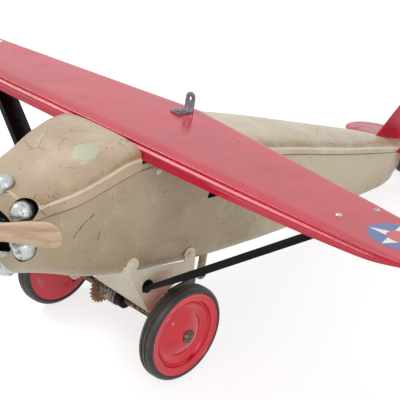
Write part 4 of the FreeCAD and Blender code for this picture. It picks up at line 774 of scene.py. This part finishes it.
@dataclass
class Fuselage:
    """The three pressings: the hull, the engine hood and the turtle deck."""

    khaki: bpy.types.Material
    hood: bpy.types.Material
    deck: bpy.types.Material
    sheet: float = 1.0
    gap: float = 0.3
    lap: float = 4.5
    ledge: float = 1.5
    wall_steps: int = 8
    corner_steps: int = 12
    floor_steps: int = 10
    crown_steps: int = 24
    hood_end: float = -42.4
    deck_start: float = 51.0
    head_radius: float = 8.6
    window: tuple[float, float, float, float, float] = (39.0, 36.0, 95.0, 17.0, 6.0)

    def hull_half(self, at: Station, inset: float) -> list[tuple[float, float]]:
        """Half of the hull's section from its hidden top edge to the keel, as (across, up)."""
        wide, low = at.wide - inset, at.low + inset
        corner = min(max(at.round - inset, 0.4), wide - 0.2)
        top = at.seam + self.lap
        points = []
        for step in range(self.wall_steps):
            share = step / self.wall_steps
            points.append((wide, top + (low + corner - top) * share))
        for step in range(self.corner_steps):
            turn = 0.5 * math.pi * step / self.corner_steps
            points.append((wide - corner * (1 - math.cos(turn)), low + corner * (1 - math.sin(turn))))
        for step in range(self.floor_steps):
            points.append(((wide - corner) * (1 - step / self.floor_steps), low))
        return points + [(0.0, low)]

    def deck_half(self, at: Station, inset: float) -> list[tuple[float, float]]:
        """Half of an upper shell's section from the band's lower edge over the rolled ridge to the crown."""
        wide = at.wide + self.gap + self.sheet - inset
        ridge = at.ridge - 0.6 * inset
        ledge = min(self.ledge, 0.3 * wide)
        points = [(wide, at.seam), (wide, at.seam + 0.4 * (ridge - at.seam)), (wide, ridge - 1.0),
                  (wide - 0.12, ridge - 0.4), (wide - 0.45, ridge - 0.05), (wide - 0.5 * ledge, ridge + 0.12)]
        rise = at.crown - inset - ridge - 0.15
        power = 2.0 / at.full
        for step in range(self.crown_steps + 1):
            turn = 0.5 * math.pi * step / self.crown_steps
            height = ridge + 0.15 + rise * math.sin(turn) ** power
            points.append(((wide - ledge) * math.cos(turn) ** power, height))
        points[-1] = (0.0, at.crown - inset)
        return points

    def surface(self, half: Callable, places: Sequence[float], inset: float) -> np.ndarray:
        """A grid of section points over places along the fuselage."""
        rows = []
        for spot in places:
            side = half(section_at(spot), inset)
            row = [(across, spot, up) for across, up in side]
            row += [(-across, spot, up) for across, up in reversed(side[:-1])]
            rows.append(row)
        return np.array(rows)

    def places(self, start: float, end: float) -> list[float]:
        """Places along the fuselage, close together where it turns in at nose and stern."""
        lip, nose = STATIONS[0].place, STATIONS[1].place
        spots = [lip + (nose - lip) * share for share in (0, .015, .05, .11, .19, .3, .43, .58, .74, .88)]
        spots += list(np.arange(nose, STATIONS[-1].place, 4.0)) + [STATIONS[-1].place]
        inside = [spot for spot in spots if start < spot < end]
        return [start] + inside + [end]

    def cutters(self) -> list[bpy.types.Object]:
        """Round bars at the cylinder heads' places."""
        return [lathe(f"hole_{index}", [(-12.0, 0.01), (-12.0, self.head_radius), (16.0, self.head_radius),
                                        (16.0, 0.01)], self.khaki, spot, along, 48)
                for index, (spot, along) in enumerate(head_places())]

    def window_cutter(self) -> bpy.types.Object:
        """A bar through both cabin windows, with a sloping front edge."""
        front, length, sill, tall, lean = self.window
        corners = rounded([(front, sill), (front + length, sill), (front + length, sill + tall),
                           (front + lean, sill + tall)], [1.5] * 4)
        points = [(side, y, z) for side in (-60.0, 60.0) for y, z in corners]
        count = len(corners)
        faces = [tuple(range(count)), tuple(range(count, 2 * count))]
        faces += [(i, (i + 1) % count, count + (i + 1) % count, count + i) for i in range(count)]
        return mesh_object("window_bar", points, faces, [self.khaki])

    def mark(self, mesh: bpy.types.Mesh) -> None:
        """Stores how far each corner lies above the ridge and above the seam, in millimetres."""
        sections = [(corner.co.z / MM, section_at(corner.co.y / MM)) for corner in mesh.vertices]
        for name, key in ((RIDGE_RISE, "ridge"), (SEAM_RISE, "seam")):
            rises = mesh.attributes.new(name, "FLOAT", "POINT")
            rises.data.foreach_set("value", [height - getattr(at, key) for height, at in sections])

    def build(self) -> None:
        """Makes the three shells."""
        ends = (STATIONS[0].place, STATIONS[-1].place)
        for name, half, span, material, nodes in (
                ("hull_shell", self.hull_half, ends, self.khaki, "fuselage_hull"),
                ("hood_shell", self.deck_half, (ends[0], self.hood_end), self.hood, "engine_hood"),
                ("deck_shell", self.deck_half, (self.deck_start, ends[1]), self.deck, "turtle_deck")):
            places = self.places(*span)
            inner_places = list(places)
            if span[1] == ends[1]:
                inner_places[-1] -= self.sheet
            outer = self.surface(half, places, 0.0)
            inner = self.surface(half, inner_places, self.sheet)
            points, faces = shell(outer, inner)
            if span[1] == ends[1]:
                columns = outer.shape[1]
                last = (len(places) - 1) * columns
                cap = tuple(range(last, last + columns))
                faces.append(cap)
                half_count = outer.shape[0] * columns
                faces.append(tuple(reversed([half_count + corner for corner in cap])))
                rim = {frozenset((a, a + 1)) for a in cap[:-1]}
                faces = [face for face in faces if not (len(face) == 4 and face[0] < half_count <= face[2]
                                                        and frozenset(face[:2]) in rim)]
            thing = mesh_object(name, points, faces, [material], sharp_deg=50.0)
            self.mark(thing.data)
            if name != "deck_shell":
                carve(thing, self.cutters() + ([self.window_cutter()] if name == "hull_shell" else []), 50.0)
            place(thing, Body.AIRFRAME, Slot.KHAKI, nodes)


HEADS = 7
AXIS_HEIGHT = 84.0


def head_places() -> list[tuple[Vector, Vector]]:
    """Foot and direction of each cylinder head's dome, the first at the top of the ring."""
    ring, face, lift, lean = 33.0, STATIONS[1].place, 2.0, math.radians(70.0)
    spots = []
    for index in range(HEADS):
        turn = 2 * math.pi * index / HEADS
        outward = Vector((math.sin(turn), 0, math.cos(turn)))
        spots.append((Vector((0, face, AXIS_HEIGHT + lift)) + outward * ring,
                      outward * math.sin(lean) + Vector((0, -1, 0)) * math.cos(lean)))
    return spots


@dataclass
class Engine:
    """The ring of domed cylinder heads, and the plate and bearing behind them."""

    nickel: bpy.types.Material
    black: bpy.types.Material
    zinc: bpy.types.Material
    radius: float = 8.25
    dome: float = 4.6

    def build(self) -> None:
        """Makes the heads as one piece of seven domes."""
        r, top = self.radius, self.dome
        profile = [(-12.0, 0.01), (-12.0, r), (-0.6, r), (0.0, r - 0.1)]
        profile += [(top * math.sin(turn), (r - 0.4) * math.cos(turn)) for turn in
                    [0.5 * math.pi * step / 12 for step in range(1, 12)]]
        profile += [(top, 0.01)]
        domes = [lathe(f"head_{index}", profile, self.nickel, spot, along, 48)
                 for index, (spot, along) in enumerate(head_places())]
        ring = join("cylinder_head_domes", domes)
        place(ring, Body.AIRFRAME, Slot.NICKEL, "cylinder_heads")
        dress(["crankcase_plate"], self.black)
        dress(["shaft_bearing"], self.zinc)


def join(name: str, things: Sequence[bpy.types.Object]) -> bpy.types.Object:
    """Joins pieces that share one transform into one object."""
    work = bmesh.new()
    for thing in things:
        work.from_mesh(thing.data)
    mesh = bpy.data.meshes.new(name)
    work.to_mesh(mesh)
    work.free()
    for material in things[0].data.materials:
        mesh.materials.append(material)
    made = bpy.data.objects.new(name, mesh)
    bpy.context.scene.collection.objects.link(made)
    made.matrix_world = things[0].matrix_world
    for thing in things:
        bpy.data.objects.remove(thing)
    return made


@dataclass
class Propeller:
    """The two-blade wooden propeller and the hardware that turns with it."""

    wood: bpy.types.Material
    nickel: bpy.types.Material
    zinc: bpy.types.Material
    steel: bpy.types.Material
    reach: float = 88.5
    place_mm: float = -147.0
    turn_deg: float = 19.5
    pitch_deg: float = 12.0
    # Share of the radius, width, thickness and share of the pitch
    blade: tuple[tuple[float, float, float, float], ...] = (
        (0.0, 15.0, 10.0, 0.0), (0.14, 15.0, 9.0, 0.3), (0.27, 13.5, 7.0, 0.8), (0.47, 15.5, 5.5, 1.0),
        (0.65, 18.4, 4.6, 1.0), (0.85, 18.5, 3.6, 1.0), (0.95, 14.6, 3.0, 1.0), (1.0, 4.5, 1.6, 1.0))

    def build(self) -> None:
        """Makes the blades as one carved piece and finishes the hardware."""
        table = np.array(self.blade)
        shares = sorted(set(np.linspace(0, 0.86, 26)) | {0.89, 0.92, 0.945, 0.965, 0.98, 0.99, 0.997, 1.0})
        turn = Matrix.Rotation(-math.radians(self.turn_deg), 3, "Y")
        centre = Vector((0, self.place_mm, AXIS_HEIGHT))
        rows = []
        steps = 28
        for side, span in ((-1, list(reversed(shares))), (1, shares[1:])):
            for share in span:
                width, thick, pitch = (smooth_value(table[:, 0], column, share) for column in table.T[1:])
                if share > 0.86:
                    width = 18.5 * math.sqrt(max(0.0, 1 - ((share - 0.86) / 0.145) ** 2))
                    thick = min(thick, 3.6) * math.sqrt(max(0.02, 1 - ((share - 0.86) / 0.145) ** 2))
                lean = math.radians(self.pitch_deg * pitch) * side
                row = []
                for step in range(steps):
                    angle = 2 * math.pi * step / steps
                    across = 0.5 * width * math.copysign(abs(math.cos(angle)) ** 0.8, math.cos(angle))
                    deep = 0.5 * thick * math.copysign(abs(math.sin(angle)) ** 0.55, math.sin(angle))
                    spot = Vector((side * share * self.reach, deep * math.cos(lean) - across * math.sin(lean),
                                   across * math.cos(lean) + deep * math.sin(lean)))
                    row.append(turn @ spot + centre)
                rows.append(row)
        points = [spot for row in rows for spot in row]
        faces: list[tuple[int, ...]] = list(grid_faces(len(rows), steps, False, True))
        faces += [tuple(range(steps)), tuple(range(len(points) - steps, len(points)))]
        thing = mesh_object("propeller_blades", points, faces, [self.wood], sharp_deg=60.0)
        place(thing, Body.PROPELLER, Slot.WOOD, "propeller")
        for name in ("propeller_nut", "propeller_washer"):
            softened(name, 0.3, self.nickel, Body.PROPELLER, Slot.NICKEL)
        dress(["propeller_shaft"], self.steel)
        dress(["shaft_collar", "propeller_spacer"], self.zinc)


@dataclass
class Wing:
    """The pressed wing with its rolled front edge, the painted ornaments and the hanging bracket."""

    crimson: bpy.types.Material
    blue: bpy.types.Material
    white: bpy.types.Material
    red: bpy.types.Material
    zinc: bpy.types.Material
    nickel: bpy.types.Material
    steel: bpy.types.Material
    top: float = 151.4
    front: float = -41.9
    back: float = 64.3
    half_span: float = 295.0
    straight: float = 249.0
    taper: float = 0.151
    front_lip: float = 12.6
    back_lip: float = 8.0
    tip_lip: float = 1.8
    sheet: float = 1.0
    groove: tuple[tuple[float, float], ...] = ((0.05, 0.6), (0.11, 0.95), (0.2, 0.95), (0.35, 0.7),
                                               (0.55, 0.38), (0.78, 0.12))
    disc_place: tuple[float, float] = (248.0, -0.6)
    disc_radius: float = 23.2
    spot_radius: float = 10.4

    def edges(self, across: float) -> tuple[float, float]:
        """Leading and trailing edge at a place across the span."""
        far = abs(across)
        at = min(far, self.straight)
        front, back = self.front, self.back - self.taper * at
        if far > self.straight:
            share = (far - self.straight) / (self.half_span - self.straight)
            keep = max(0.0, 1 - share ** 2.3) ** (1 / 2.3)
            middle = (front + back) / 2
            front, back = middle + (front - middle) * keep, middle + (back - middle) * keep
        return front, back

    def lip(self, root: float, across: float) -> float:
        """Depth of a turned-down edge, shallower towards the tip."""
        shares = np.array([0.0, 0.30, 0.51, 0.80, 0.93, 1.05])
        parts = np.array([1.0, 0.96, 0.84, 0.48, 0.06, 0.0])
        share = abs(across) / (self.half_span + 10)
        return self.tip_lip + (root - self.tip_lip) * smooth_value(shares, parts, share)

    def profile(self, across: float, inset: float) -> list[Point]:
        """Section of the sheet from the front lip's edge over the top to the rear lip's edge."""
        front, back = self.edges(across)
        deep, shallow = self.lip(self.front_lip, across), self.lip(self.back_lip, across)
        size = min(1.0, deep / self.front_lip + 0.1, (back - front) / 30)
        low_front, low_back = self.top - deep, self.top - shallow
        bead = [(0.0, -7.6), (-0.7, -6.9), (-1.15, -6.0), (-1.15, -5.1), (-0.7, -4.3), (0.15, -3.7),
                (0.75, -3.2), (0.85, -2.7), (0.5, -2.1), (0.15, -1.6), (0.2, -1.0), (0.6, -0.45),
                (1.3, -0.1), (2.2, 0.0)]
        points = [(front + inset, low_front), (front + inset, max(low_front, self.top - 7.7 * size * 1.02))]
        points += [(front + (a * size if a < 0.9 else a) + inset * (1 if b < -0.3 else 0.7),
                    max(low_front, self.top + b * size - inset * (1 if b > -1.2 else 0.3))) for a, b in bead]
        flat = 22
        start, end = front + 2.2 + inset, back - 2.0 - inset
        start, end = min(start, (front + back) / 2), max(end, (front + back) / 2)
        # A groove behind the bead that fades back into the flat
        rest = start + min(12.0 * size, 0.4 * (end - start))
        points += [(start + (rest - start) * share, self.top - inset - dip * size)
                   for share, dip in self.groove]
        points += [(rest + (end - rest) * step / flat, self.top - inset) for step in range(flat)]
        points += [(back - (2.0 if back - front > 8 else 0.1) - inset * 0.7, self.top - inset),
                   (back - 0.75 - inset * 0.8, self.top - 0.25 - inset * 0.9),
                   (back - 0.2 - inset, self.top - 0.9 - inset * 0.5), (back - inset, self.top - 2.0 * size),
                   (back - inset, low_back + 0.4 * size), (back - inset, low_back)]
        return [(across, min(max(y, front + 0.02), back - 0.02) if inset else y, max(z, self.top - 30))
                for y, z in points]

    def panel(self) -> bpy.types.Object:
        """The wing's sheet."""
        spans = list(np.linspace(0, self.straight, 34))
        spans += [self.straight + (self.half_span - self.straight) * math.sin(0.5 * math.pi * step / 18)
                  for step in range(1, 18)] + [self.half_span - 0.05]
        across = [-x for x in reversed(spans[1:])] + spans
        outer = np.array([self.profile(x, 0.0) for x in across])
        inner = np.array([self.profile(x * (1 - self.sheet / self.half_span), self.sheet) for x in across])
        points, faces = shell(outer, inner)
        return mesh_object("wing_sheet", points, faces, [self.crimson], sharp_deg=50.0)

    def disc(self, side: int) -> bpy.types.Object:
        """A star in a disc with a round middle, cut as flat paint that lies on the wing."""
        x0, y0 = side * self.disc_place[0], self.disc_place[1]
        radius = self.disc_radius
        steps = 120
        star = []
        inner = radius * math.sin(math.radians(18)) / math.sin(math.radians(126))
        for tip in range(5):
            for turn, reach in ((-90 + 72 * tip, radius * 0.985), (-54 + 72 * tip, inner)):
                angle = math.radians(turn)
                star.append((x0 + reach * math.cos(angle), y0 + reach * math.sin(angle)))
        points: list[Point] = []
        faces: list[tuple[int, ...]] = []
        slots: list[int] = []

        def flat(corners: Sequence[tuple[float, float]], lift: float, slot: int) -> None:
            """Adds a thin flat plate of paint."""
            start = len(points)
            count = len(corners)
            points.extend((x, y, self.top + 0.01) for x, y in corners)
            points.extend((x, y, self.top + lift) for x, y in corners)
            faces.append(tuple(range(start, start + count)))
            faces.append(tuple(range(start + count, start + 2 * count)))
            for i in range(count):
                after = (i + 1) % count
                faces.append((start + i, start + after, start + count + after, start + count + i))
            slots.extend([slot] * (count + 2))

        turns = [2 * math.pi * i / steps for i in range(steps)]
        circle = [(math.cos(turn), math.sin(turn)) for turn in turns]
        flat([(x0 + radius * c, y0 + radius * s) for c, s in circle], 0.05, 0)
        flat(star, 0.09, 1)
        flat([(x0 + self.spot_radius * c, y0 + self.spot_radius * s) for c, s in circle], 0.13, 2)
        name = "star_disc_port" if side > 0 else "star_disc_starboard"
        return mesh_object(name, points, faces, [self.blue, self.white, self.red], slots)

    def build(self) -> None:
        """Makes the wing and what is fixed on it."""
        place(self.panel(), Body.AIRFRAME, Slot.CRIMSON, "wing_panel")
        for side in (1, -1):
            place(self.disc(side), Body.AIRFRAME, Slot.CRIMSON)
        softened("hanging_bracket", 0.25, self.zinc, Body.AIRFRAME, Slot.ZINC)
        softened("wing_bolt", 0.3, self.zinc, Body.AIRFRAME, Slot.ZINC)
        softened("strut_eyelets", 0.15, self.nickel, Body.AIRFRAME, Slot.NICKEL)
        dress(["wing_nut"], self.zinc)
        dress(["wing_support_front", "wing_support_rear"], self.steel)


@dataclass
class LandingGear:
    """Legs, struts, braces and their fasteners."""

    khaki: bpy.types.Material
    black: bpy.types.Material
    zinc: bpy.types.Material
    fibre: bpy.types.Material

    def build(self) -> None:
        """Breaks the edges of the folded sheet pieces and finishes the fasteners."""
        for side in ("port", "starboard"):
            softened(f"gear_leg_{side}", 0.3, self.khaki, Body.AIRFRAME, Slot.KHAKI)
            softened(f"strut_{side}", 0.35, self.black, Body.AIRFRAME, Slot.BLACK)
            softened(f"gear_brace_{side}", 0.3, self.black, Body.AIRFRAME, Slot.BLACK)
        softened("gear_rivets", 0.3, self.khaki, Body.AIRFRAME, Slot.KHAKI)
        softened("support_rivets", 0.3, self.khaki, Body.AIRFRAME, Slot.KHAKI)
        softened("strut_bolts", 0.2, self.black, Body.AIRFRAME, Slot.BLACK)
        softened("brace_bolts", 0.2, self.zinc, Body.AIRFRAME, Slot.ZINC)
        softened("brace_spacers", 0.3, self.fibre, Body.AIRFRAME, Slot.FIBRE)
        softened("clicker_reed", 0.08, self.zinc, Body.AIRFRAME, Slot.ZINC)
        dress(["reed_rivet"], self.khaki)


@dataclass
class AxleSet:
    """The wheels, the axle and what turns on it."""

    enamel: bpy.types.Material
    rubber: bpy.types.Material
    hub: bpy.types.Material
    sleeve: bpy.types.Material
    rust: bpy.types.Material
    black: bpy.types.Material
    face: float = 81.0
    tyre_width: float = 13.9
    radius: float = 40.0
    disc: float = 34.9

    def tyre_profile(self) -> list[tuple[float, float]]:
        """The tyre's section from the face inwards: walls, rounded shoulders and two grooves in the tread."""
        wide, radius, seat = self.tyre_width, self.radius, 32.7
        corners = [(2.3, seat), (wide - 2.3, seat), (wide - 2.2, self.disc + 0.15),
                   (wide - 0.3, self.disc + 0.3), (wide, self.disc + 1.8), (wide - 0.5, radius - 2.2),
                   (wide - 2.4, radius - 0.55)]
        radii = [0.2, 0.2, 0.2, 0.4, 1.0, 1.6, 1.8]
        for middle in (wide / 2 + 1.8, wide / 2 - 1.8):
            corners += [(middle + 0.75, radius - 0.02), (middle + 0.45, radius - 1.1),
                        (middle - 0.45, radius - 1.1), (middle - 0.75, radius - 0.02)]
            radii += [0.35, 0.3, 0.3, 0.35]
        corners += [(2.4, radius - 0.55), (0.5, radius - 2.2), (0.0, self.disc + 1.8), (0.3, self.disc + 0.3),
                    (2.2, self.disc + 0.15)]
        radii += [1.8, 1.6, 1.0, 0.4, 0.2]
        return rounded(corners, radii, 4)

    def disc_profile(self) -> list[tuple[float, float]]:
        """The outer disc's section by depth behind the tyre's face: dome, ring, flat and rolled edge."""
        front = [(-1.9, 3.1), (-1.9, 6.4), (-1.65, 8.0), (-1.1, 10.0), (-0.35, 12.0), (0.6, 13.9),
                 (1.7, 15.9), (2.7, 17.4), (3.6, 18.6), (4.3, 19.5), (4.6, 20.4), (4.4, 21.4),
                 (3.7, 22.6), (3.05, 23.7), (2.8, 24.6), (3.05, 25.5), (3.8, 26.3), (4.4, 26.9),
                 (4.4, 27.5), (3.9, 28.0), (2.6, 28.5), (1.6, 28.9), (1.3, 29.5), (1.3, 31.5),
                 (1.25, 33.2), (0.85, 33.9), (0.4, 34.4), (0.35, 34.9), (0.75, 35.1)]
        thick = 0.8
        back = [(1.7, 35.0), (1.9, 34.3), (2.1, 33.4), (2.15, 30.2), (2.6, 29.5), (3.8, 29.0), (5.2, 28.2),
                (5.3, 26.8), (4.6, 26.0), (3.7, 24.6), (4.4, 23.2), (5.2, 22.0), (5.4, 20.4)]
        back += [(depth + thick, reach) for depth, reach in reversed(front[:9])]
        return front + back

    def build(self) -> None:
        """Turns both wheels and finishes the rest."""
        for side, name in ((1, "port"), (-1, "starboard")):
            start = (side * self.face, 0.0, 0.0)
            inward = (-side, 0.0, 0.0)
            place(lathe(f"tyre_ring_{name}", self.tyre_profile(), self.rubber, start, inward, 128),
                  Body.AXLE, Slot.RUBBER, f"tyre_{name}")
            place(lathe(f"wheel_face_{name}", self.disc_profile(), self.enamel, start, inward, 128),
                  Body.AXLE, Slot.WHEEL, f"wheel_disc_{name}")
            softened(f"wheel_backing_{name}", 0.3, self.enamel, Body.AXLE, Slot.WHEEL, 20.0)
            hub = rounded([(-1.9, 3.02), (-1.9, 5.6), (-3.0, 5.5), (-3.7, 4.5), (-3.7, 3.02)],
                          [0, 0.2, 0.5, 0.4, 0], 4)
            place(lathe(f"hub_cap_{name}", hub, self.hub, start, inward, 64), Body.AXLE, Slot.STEEL,
                  f"hub_nut_{name}")
        softened("main_axle", 0.2, self.hub, Body.AXLE, Slot.STEEL)
        softened("axle_sleeve", 0.3, self.sleeve, Body.AXLE, Slot.STEEL, 60.0)
        softened("axle_collar", 0.4, self.black, Body.AXLE, Slot.BLACK, 60.0)
        softened("star_wheel", 0.15, self.rust, Body.AXLE, Slot.RUST)


@dataclass
class Tail:
    """Fin, tailplane, tail wheel and its fork."""

    crimson: bpy.types.Material
    brown: bpy.types.Material
    rubber: bpy.types.Material
    steel: bpy.types.Material

    def build(self) -> None:
        """Breaks the edges of the tail pieces."""
        softened("tail_fin", 0.3, self.crimson, Body.AIRFRAME, Slot.CRIMSON)
        softened("tailplane", 0.3, self.crimson, Body.AIRFRAME, Slot.CRIMSON)
        softened("tail_rivets", 0.2, self.crimson, Body.AIRFRAME, Slot.CRIMSON)
        softened("tail_fork", 0.25, self.brown, Body.AIRFRAME, Slot.BROWN)
        softened("tail_pin", 0.2, self.steel, Body.AIRFRAME, Slot.STEEL)
        softened("tail_wheel", 0.2, self.rubber, Body.ROLLER, Slot.RUBBER, 50.0)


@dataclass
class Studio:
    """Pale floor, plain soft light and the camera at the photograph's angle."""

    lens_mm: float = 113.5
    azimuth_deg: float = 44.63
    elevation_deg: float = 30.14
    eye_mm: Point = (646.1, -557.4, 622.4)
    # The floor as camera and gloss see it glows a little, so that the shadow on it stays faint
    floor_glow: float = 0.72
    floor_seen: float = 0.45
    floor_bounce: float = 0.72
    sky_light: float = 0.55

    def floor(self) -> None:
        """A white floor that keeps the shadow and shows as white to camera and gloss."""
        s = Surface("white_paper_floor")
        s.tree.nodes.remove(s.shader)
        path = node(s.tree, "ShaderNodeLightPath")
        seen = s.sum("MAXIMUM", path.outputs["Is Camera Ray"], path.outputs["Is Glossy Ray"])
        strength = s.sum("MULTIPLY", seen, self.floor_glow)
        glow = node(s.tree, "ShaderNodeEmission", {"Color": grey(1.0), "Strength": strength})
        shade = s.mix(seen, grey(self.floor_bounce), grey(self.floor_seen))
        paper = node(s.tree, "ShaderNodeBsdfDiffuse", {"Color": shade})
        both = node(s.tree, "ShaderNodeAddShader", {0: glow.outputs[0], 1: paper.outputs[0]})
        output = next(n for n in s.tree.nodes if n.type == "OUTPUT_MATERIAL")
        s.tree.links.new(both.outputs[0], output.inputs["Surface"])
        reach = 6.0
        mesh = bpy.data.meshes.new("floor")
        mesh.from_pydata([(-reach, -reach, 0), (reach, -reach, 0), (reach, reach, 0), (-reach, reach, 0)], [],
                         [(0, 1, 2, 3)])
        mesh.materials.append(s.material)
        thing = bpy.data.objects.new("floor", mesh)
        bpy.context.scene.collection.objects.link(thing)

    def lamp(self, name: str, spot: Point, size: float, power: float, aim: Point = (0, 0, 0.1)) -> None:
        """A square soft box that looks at the toy."""
        data = bpy.data.lights.new(name, "AREA")
        data.size = size
        data.energy = power
        thing = bpy.data.objects.new(name, data)
        thing.location = spot
        thing.rotation_euler = (Vector(aim) - Vector(spot)).to_track_quat("-Z", "Y").to_euler()
        bpy.context.scene.collection.objects.link(thing)

    def world(self) -> None:
        """An even grey-white surround: white to camera, gloss and glass, softer as light."""
        world = bpy.data.worlds.new("studio")
        bpy.context.scene.world = world
        world.use_nodes = True
        tree = world.node_tree
        tree.nodes.clear()
        path = node(tree, "ShaderNodeLightPath")
        rays = {0: path.outputs["Is Camera Ray"], 1: path.outputs["Is Glossy Ray"]}
        first = node(tree, "ShaderNodeMath", rays, operation="MAXIMUM").outputs[0]
        seen = node(tree, "ShaderNodeMath", {0: first, 1: path.outputs["Is Transmission Ray"]},
                    operation="MAXIMUM").outputs[0]
        levels = {"Value": seen, "To Min": self.sky_light, "To Max": 1.0}
        power = node(tree, "ShaderNodeMapRange", levels).outputs[0]
        light = node(tree, "ShaderNodeBackground", {"Color": grey(1.0), "Strength": power})
        node(tree, "ShaderNodeOutputWorld", {"Surface": light.outputs[0]})

    def camera(self) -> None:
        """The photograph's viewpoint."""
        data = bpy.data.cameras.new("camera")
        data.sensor_width = 36.0
        data.lens = self.lens_mm
        data.clip_start, data.clip_end = 0.05, 30.0
        thing = bpy.data.objects.new("camera", data)
        ground = Vector((AXLE.x, AXLE.y, 0.0))
        thing.location = ground + Vector(self.eye_mm) * MM
        thing.rotation_euler = (math.radians(90 - self.elevation_deg), 0, math.radians(self.azimuth_deg))
        bpy.context.scene.collection.objects.link(thing)
        bpy.context.scene.camera = thing

    def build(self) -> None:
        """Sets the stage."""
        self.floor()
        self.world()
        self.lamp("key", (-1.6, -0.7, 2.0), 1.3, 34.0)
        self.lamp("fill", (2.0, -0.8, 1.3), 1.2, 18.0)
        self.camera()
        bpy.context.scene.view_settings.view_transform = "Standard"


def main() -> None:
    """Builds each sub-assembly."""
    logging.basicConfig(level=logging.INFO, format="%(message)s")
    khaki = AgedEnamel("aged_khaki_enamel", "#B7A68A", "#A79679", "#D0C2A4", bend_light=True,
                       painted_light_span=(70.0, 170.0), strokes=HULL_CRACKS).make()
    hood = AgedEnamel("aged_khaki_enamel_on_hood", "#C6B196", "#AF9A80", "#D3C2AC", wear=1.0, bend_light=True,
                      strokes=HOOD_CRACKS, patch=HOOD_PATCH).make()
    # The deck's khaki is drawn paler than the hull's: painted light from above, which its upward faces catch
    deck = AgedEnamel("aged_khaki_enamel_on_deck", "#CFC2AA", "#BEAE93", "#DFD5C2", wear=0.6,
                      bend_light=True).make()
    cream = AgedEnamel("pale_khaki_enamel", "#E6E1CB", "#D6CFB6", "#EAE6D6", grime="#A08C6C", wear=0.9,
                       darkening=0.1).make()
    crimson = GlossEnamel("crimson_gloss_enamel", "#C80F34", "#B80C2C", coat=0.05).make()
    tail_red = GlossEnamel("dull_crimson_enamel", "#C81234", "#AE0E2A", rough=0.26, coat=0.0).make()
    wheel_red = GlossEnamel("wheel_red_enamel", "#E21A33", "#D0142B", rough=0.16, wear=0.5, coat=0.2).make()
    # Gloss under half of the usual: the old japan has dulled
    black = GlossEnamel("black_japan", "#070707", "#0A0A0B", rough=0.3, coat=0.0, scuff="#4A4440",
                        gloss=0.12).make()
    rubber = MouldedRubber("moulded_tyre_rubber", colour="#131414", bloom="#222425", dust="#4E4438").make()
    roller = MouldedRubber("moulded_roller_rubber", tread_mm=500.0).make()
    nickel = WornMetal("dull_nickel_plate", "#BFC3C4", "#85837E", 0.3, 0.4).make()
    zinc = WornMetal("zinc_plated_steel", "#8F9296", "#5C5B59", 0.36, 0.5, 3.0).make()
    steel = WornMetal("bare_turned_steel", "#8A8178", "#5A4535", 0.4, 0.6, 4.0, 0.9).make()
    hub = WornMetal("browned_steel", "#8C7A68", "#57402E", 0.42, 0.7, 2.5, 0.7).make()
    sleeve = WornMetal("mottled_steel_tube", "#A2968A", "#4A3B2F", 0.5, 0.62, 2.0, 0.5, 0.12).make()
    rust = WornMetal("rusted_steel", "#9A7A62", "#8A5638", 0.6, 0.6, 2.0, 0.3, 0.12).make()
    brown = GlossEnamel("brown_enamel", "#3A241B", "#2C1A14", rough=0.35, coat=0.1).make()
    fibre = AgedEnamel("pale_fibre", "#C9BA96", "#B5A580", "#D2C6A6", wear=0.2, rough=0.6).make()
    wood = BareWood("bare_birch", 19.5).make()
    blue = PrintedDisc("blue_disc_paint", "#2A4E9A", "#6E7FA8").make()
    white = PrintedDisc("white_star_paint", "#ECE6DC", "#C9B9AC").make()
    red = PrintedDisc("red_spot_paint", "#C2252F", "#A8404A").make()
    Fuselage(khaki, hood, deck).build()
    Engine(nickel, black, zinc).build()
    Propeller(wood, nickel, zinc, steel).build()
    Wing(crimson, blue, white, red, zinc, nickel, steel).build()
    LandingGear(cream, black, zinc, fibre).build()
    AxleSet(wheel_red, rubber, hub, sleeve, rust, black).build()
    Tail(tail_red, brown, roller, steel).build()
    Studio().build()


if __name__ == "__main__":
    main()
